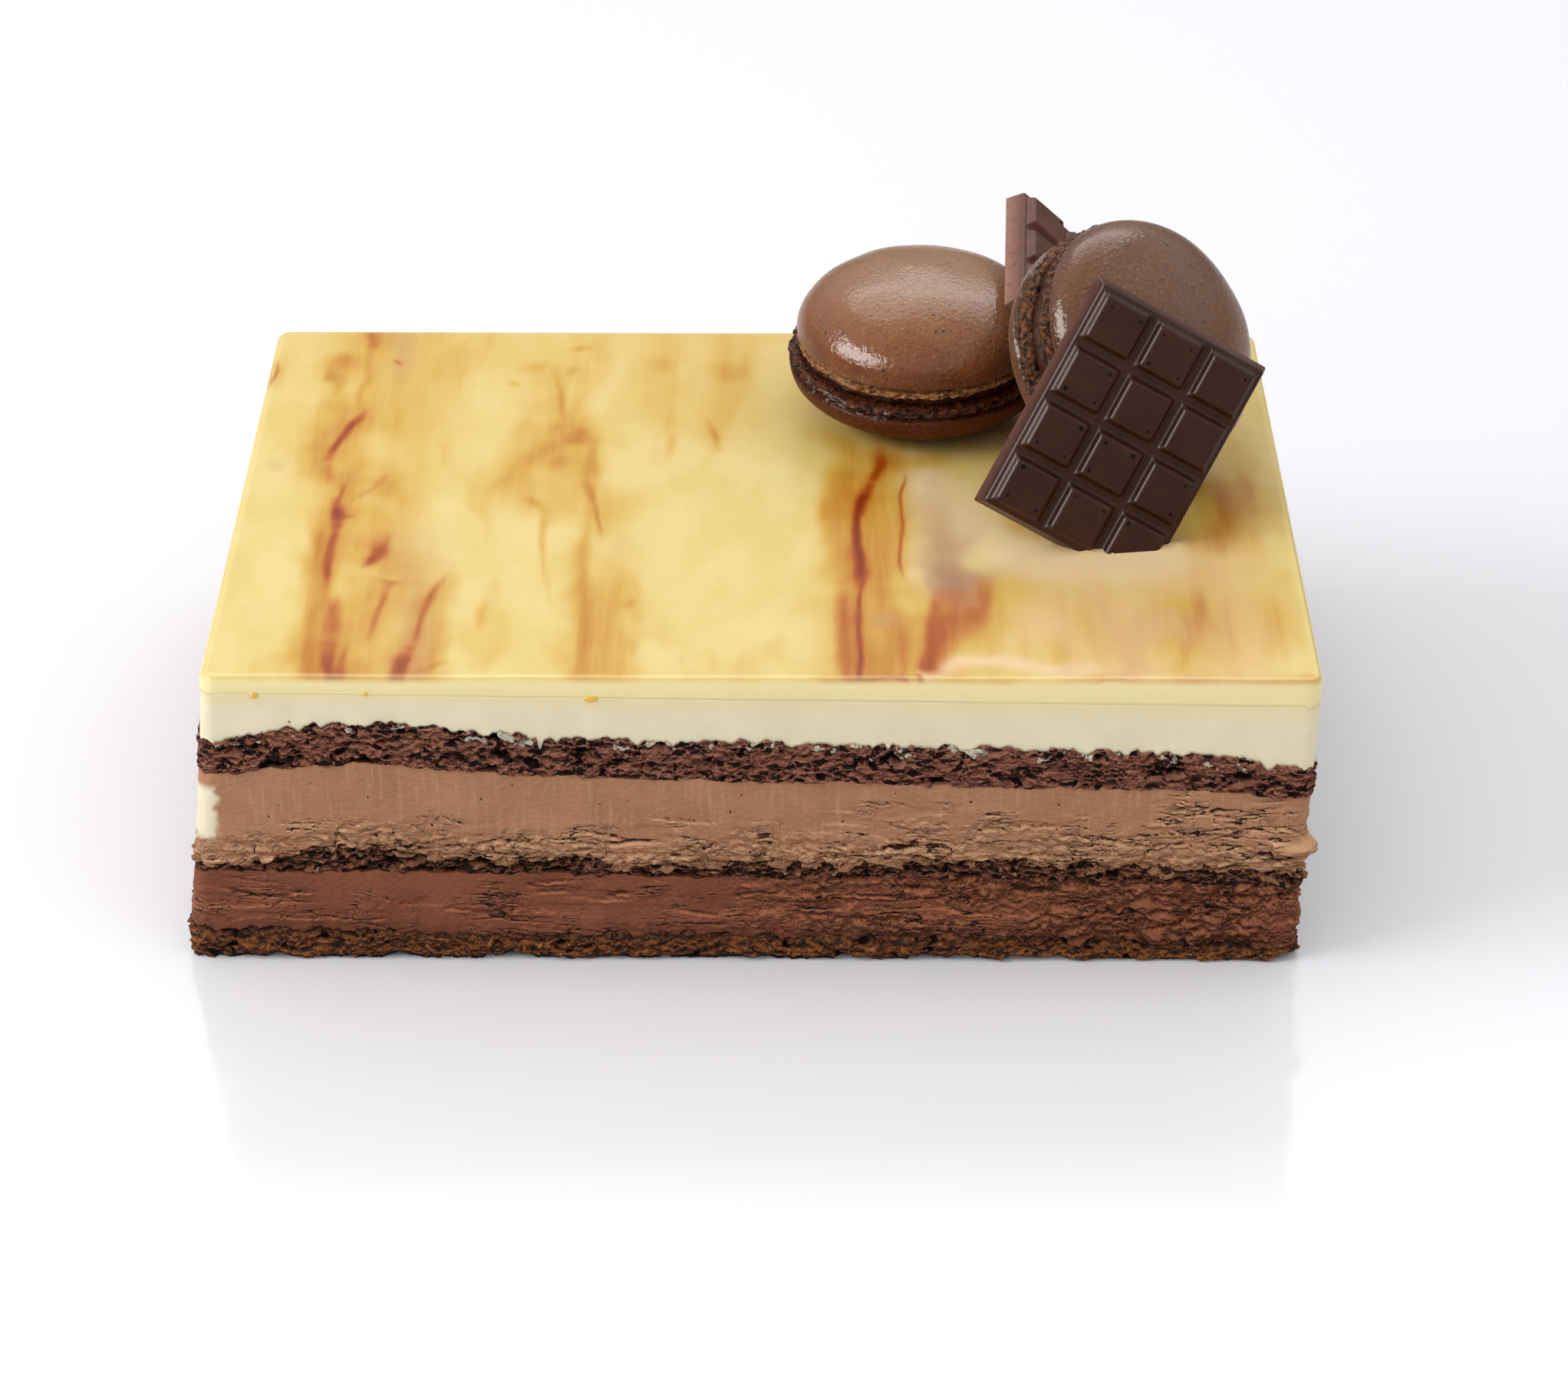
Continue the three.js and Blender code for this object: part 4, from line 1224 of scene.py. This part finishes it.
FLAT = {"name": "flat_macaron", "centre": (33, 37.6, 73.4), "axis": (-0.013, -0.097, 0.995)}
LEANING = {"name": "leaning_macaron", "centre": (72.3, 13.8, 82.8), "axis": (0.586, -0.551, 0.595)}
shell(FLAT, "upper", golden_shell, 151, radius=24.4, dome=12.2, foot=1.7, lift=1.0)
shell(FLAT, "lower", soaked_shell, 161, radius=26.0, dome=10.9, foot=1.7, lift=1.0)
filling(FLAT, ganache.material, 171, radius=23.4, thick=2.0)
shell(LEANING, "upper", leaning_shell, 181, radius=24.2, dome=11.4, foot=2.7, lift=1.9)
shell(LEANING, "lower", leaning_shell, 191, radius=24.2, dome=10.6, foot=2.7, lift=1.9)
filling(LEANING, ganache.material, 201, radius=23.2, thick=3.8)

# %% [markdown]
# ## Chocolate tablets
# A tablet comes out of a mould: a slab with sloping sides and a grid of raised pillows. The grid's faces
# are inset twice, once for the grooves and once for the pillows' sloping sides, and then lifted. A bevel
# softens the edges, which is what catches the light. Small air holes sit where bubbles were trapped in
# the mould's corners; each is cut by a tiny ball with a Boolean modifier, and painted dark inside as shade.

# %% Tablet blank
COLUMNS, ROWS = 3, 4
PITCH = (11.5, 11.3)
BORDER = 0.2
GROOVE = 2.4
PILLOW_DRAFT, PILLOW_HEIGHT = 1.0, 1.5
SLAB, SLAB_DRAFT = 4.3, 1.1
SINK = 2.5
PILLOW_BEVEL, RIM_BEVEL = 0.5, 0.42
HOLE_SHARE, HOLE_OUT, HOLE_DEPTH = 0.5, 2.8, 0.05


def tablet_blank():
    width = COLUMNS * PITCH[0] + 2 * BORDER
    length = ROWS * PITCH[1] + 2 * BORDER
    bm = bmesh.new()
    bmesh.ops.create_grid(bm, x_segments=COLUMNS, y_segments=ROWS, size=0.5)
    bmesh.ops.scale(bm, vec=(width, length, 1), verts=bm.verts)
    pillows = bm.faces[:]
    foot = only(BMVert, bmesh.ops.extrude_edge_only(bm, edges=open_edges(bm.edges))["geom"])
    grow = (1 + 2 * SLAB_DRAFT / width, 1 + 2 * SLAB_DRAFT / length, 1)
    bmesh.ops.scale(bm, vec=grow, verts=foot)
    bmesh.ops.translate(bm, vec=(0, 0, -SLAB), verts=foot)
    bmesh.ops.edgeloop_fill(bm, edges=open_edges(bm.edges))
    bmesh.ops.recalc_face_normals(bm, faces=bm.faces)
    for inset in (GROOVE / 2, PILLOW_DRAFT):
        bmesh.ops.inset_individual(bm, faces=pillows, thickness=inset)
    tops = {vert for face in pillows for vert in face.verts}
    bmesh.ops.translate(bm, vec=(0, 0, PILLOW_HEIGHT), verts=list(tops))
    sharp = [e for e in bm.edges if len(e.link_faces) == 2 and e.calc_face_angle() > 0.3]
    slopes = {edge for face in bm.faces if face.calc_center_median().z > 0.1 for edge in face.edges}
    pillow_edges = [edge for edge in sharp if edge in slopes]
    rim = [edge for edge in sharp if edge not in slopes]
    for edges, offset in ((pillow_edges, PILLOW_BEVEL), (rim, RIM_BEVEL)):
        bmesh.ops.bevel(
            bm, geom=edges, offset=offset, offset_type="OFFSET", segments=4, profile=0.5,
            affect="EDGES", material=-1,
        )
    bmesh.ops.triangulate(bm, faces=[f for f in bm.faces if len(f.verts) > 4])
    return bm


def air_holes(seed):
    """Small balls at some of the pillows' corners, and their places and sizes."""
    bm = bmesh.new()
    found = []
    for number, (column, row, side_x, side_y) in enumerate(np.ndindex(COLUMNS, ROWS, 2, 2)):
        chance, size, slip = (scramble(np.array([[number, k, 7]]), seed)[0] for k in range(3))
        if chance > HOLE_SHARE:
            continue
        x = (column - (COLUMNS - 1) / 2) * PITCH[0] + (side_x * 2 - 1) * (HOLE_OUT + 0.4 * slip)
        y = (row - (ROWS - 1) / 2) * PITCH[1] + (side_y * 2 - 1) * (HOLE_OUT + 0.3 * size)
        place = (x, y, PILLOW_HEIGHT - HOLE_DEPTH)
        radius = 0.25 + 0.2 * size**2
        bmesh.ops.create_icosphere(bm, subdivisions=2, radius=radius, matrix=Matrix.Translation(place))
        found.append((*place, radius))
    return bm, np.array(found)


print("tablet blank ready")


# %% Tablets
def tablet_frame(centre, face, up):
    """The matrix that sets a tablet's embossed face and its length in the directions given."""
    normal = Vector(face).normalized()
    right = Vector(up).cross(normal).normalized()
    along = normal.cross(right)
    turn = Matrix((right, along, normal)).transposed()
    return Matrix.Translation(centre) @ turn.to_4x4()


def drilled(mesh, holes):
    """The mesh with the balls cut out of it."""
    block, cutter = add("block", mesh), add("cutter", holes)
    cut = block.modifiers.new("air holes", "BOOLEAN")
    cut.operation = "DIFFERENCE"
    cut.solver = "EXACT"
    cut.object = cutter
    made = bpy.data.meshes.new_from_object(block.evaluated_get(bpy.context.evaluated_depsgraph_get()))
    made.name = mesh.name + "_drilled"
    bpy.data.objects.remove(block)
    bpy.data.objects.remove(cutter)
    return made


def tablet(name, material, seed, **pose):
    matrix = tablet_frame(**pose)
    bm = tablet_blank()
    bmesh.ops.transform(bm, matrix=matrix, verts=bm.verts)
    cut = bmesh.ops.bisect_plane(
        bm, geom=bm.verts[:] + bm.edges[:] + bm.faces[:], plane_co=(0, 0, GLAZE_TOP - SINK),
        plane_no=(0, 0, 1), clear_inner=True,
    )["geom_cut"]
    bmesh.ops.edgeloop_fill(bm, edges=only(BMEdge, cut))
    bmesh.ops.recalc_face_normals(bm, faces=bm.faces)
    balls, places = air_holes(seed)
    bmesh.ops.transform(balls, matrix=matrix, verts=balls.verts)
    mesh = drilled(to_mesh(bm, name + "_detail")[0], to_mesh(balls, name + "_balls")[0])
    points = points_of(mesh)
    local = (points - np.array(matrix.translation)) @ np.array(matrix.to_3x3())
    side = ease(-0.3, -0.9, local[:, 2])
    gap = np.linalg.norm(local[:, None, :] - places[None, :, :3], axis=2) - places[None, :, 3]
    piece = finish(mesh, points, material, name, "chocolate", side=side)
    touching = gap.min(axis=1) < 0.03
    inside = [float(all(touching[corner] for corner in face.vertices)) for face in mesh.polygons]
    mesh.attributes.new("hole", "FLOAT", "FACE").data.foreach_set("value", inside)
    even = piece.modifiers.new("even shading", "WEIGHTED_NORMAL")
    even.weight = 60
    return piece


def chocolate_finish(name, deep, pale, side, gloss):
    chocolate = Finish(name, 0.3, 0.25, deep)
    chocolate.over(chocolate.noise(7.0), 0.3, 0.7, pale)
    chocolate.over(chocolate.noise(0.7), 0.58, 0.8, (88, 56, 46), 0.3)
    # The sides are lighter in patches.
    side_patches = chocolate.step(chocolate.noise(2.5, detail=4), 0.2, 0.5)
    chocolate.wash(chocolate.times("side", side_patches), side)
    # Air holes painted dark inside as shade.
    chocolate.over("hole", 0.3, 0.8, (16, 8, 6))
    chocolate.dial(Roughness=chocolate.step("side", 0.0, 1.0, gloss, 0.5))
    chocolate.bump(chocolate.noise(1.6), 0.03)
    return chocolate.material


dark_chocolate = chocolate_finish(
    "dark chocolate", deep=(54, 27, 18), pale=(62, 33, 22), side=(96, 56, 44), gloss=0.36
)
paler_chocolate = chocolate_finish(
    "paler chocolate", deep=(86, 50, 40), pale=(104, 63, 50), side=(152, 108, 92), gloss=0.55
)
tablet(
    "front_tablet", dark_chocolate, 211,
    centre=(69.5, -15.9, 79.2), face=(0.141, -0.935, 0.326), up=(0.475, 0.354, 0.805),
)
tablet(
    "back_tablet", paler_chocolate, 223,
    centre=(69.3, 45.2, 76.6), face=(0.696, -0.158, 0.701), up=(-0.717, -0.093, 0.691),
)

# %% [markdown]
# ## Floor, light and camera
# The cake stands on a pale glossy floor. A soft light on the left shapes it, and one at the back lifts the
# domes from the wall. A photographer adds large white cards that only show as reflections: one on the left
# for the bright patches on the domes and the chocolate's bevels, and one overhead for the domes' sheen.
# The surround is bright above and behind and dim in front, low down, so that dark chocolate stays dark.


# %% Floor
FLOOR_HALF = 4.0
bm = bmesh.new()
bmesh.ops.create_grid(bm, x_segments=8, y_segments=8, size=FLOOR_HALF)
studio = Finish("pale floor", 0.12, 0.3, (241, 241, 246))
studio.over(studio.noise(900.0, detail=1), 0.2, 0.8, (243, 243, 247))
floor = add("floor", to_mesh(bm, "floor")[0])
floor.data.materials.append(studio.material)


# %% Light
CAKE_MIDDLE = Vector((0, 0, 0.06))
ROOM_LIGHT = 0.23


def soft_light(name, place, size, energy, only_shines=False):
    lamp = bpy.data.lights.new(name, "AREA")
    lamp.shape = "RECTANGLE"
    lamp.size, lamp.size_y = size
    lamp.energy = energy
    stand = add(name, lamp)
    stand.visible_diffuse = not only_shines
    stand.location = place
    stand.rotation_euler = (CAKE_MIDDLE - Vector(place)).to_track_quat("-Z", "Y").to_euler()


soft_light("key", place=(-1.1, -0.3, 0.84), size=(0.9, 0.5), energy=9.2)
soft_light("back", place=(0.1, 1.05, 1.0), size=(1.2, 0.4), energy=3.5)
soft_light("left card", place=(-1.12, -0.42, 0.82), size=(1.2, 0.7), energy=24.0, only_shines=True)
soft_light("top card", place=(0.05, 0.85, 1.2), size=(1.4, 0.7), energy=8.0, only_shines=True)

world = bpy.data.worlds.new("surround")
world.use_nodes = True
sky = Nodes(world.node_tree)
facing = sky.node("ShaderNodeSeparateXYZ", Vector=sky.node("ShaderNodeTexCoord").outputs["Generated"])
glow = sky.maths(
    "ADD",
    sky.step(facing.outputs["Z"], 0.15, 0.42, 0.0, 0.765),
    sky.step(facing.outputs["Z"], 0.72, 1.0, 0.0, -0.42),
    sky.step(facing.outputs["Y"], 0.25, 0.9, 0.0, -0.15),
    ROOM_LIGHT,
)
sky.fill(sky.tree.nodes["Background"], Color=(1, 1, 1, 1), Strength=glow)
bpy.context.scene.world = world
bpy.context.scene.view_settings.view_transform = "Standard"

# %% Camera
CAMERA_PLACE = (0.00765, -0.7738, 0.4558)
PITCH_DOWN, YAW, ROLL = (math.radians(angle) for angle in (29.67, -0.10, 0.13))
FOCAL_IN_PIXELS, PICTURE_WIDTH = 5931, 2044
SENSOR_WIDTH = 36
camera = bpy.data.cameras.new("camera")
camera.lens = FOCAL_IN_PIXELS * SENSOR_WIDTH / PICTURE_WIDTH
camera.sensor_width = SENSOR_WIDTH
camera.sensor_fit = "HORIZONTAL"
ahead = math.cos(PITCH_DOWN)
forward = Vector((math.sin(YAW) * ahead, math.cos(YAW) * ahead, -math.sin(PITCH_DOWN)))
level_right = Vector((math.cos(YAW), -math.sin(YAW), 0))
level_up = level_right.cross(forward)
right = math.cos(ROLL) * level_right + math.sin(ROLL) * level_up
upward = -math.sin(ROLL) * level_right + math.cos(ROLL) * level_up
turn = Matrix((right, upward, -forward)).transposed()
camera_place = add("camera", camera)
camera_place.matrix_world = Matrix.Translation(CAMERA_PLACE) @ turn.to_4x4()
bpy.context.scene.camera = camera_place
print("lens", round(camera.lens, 2), "mm")
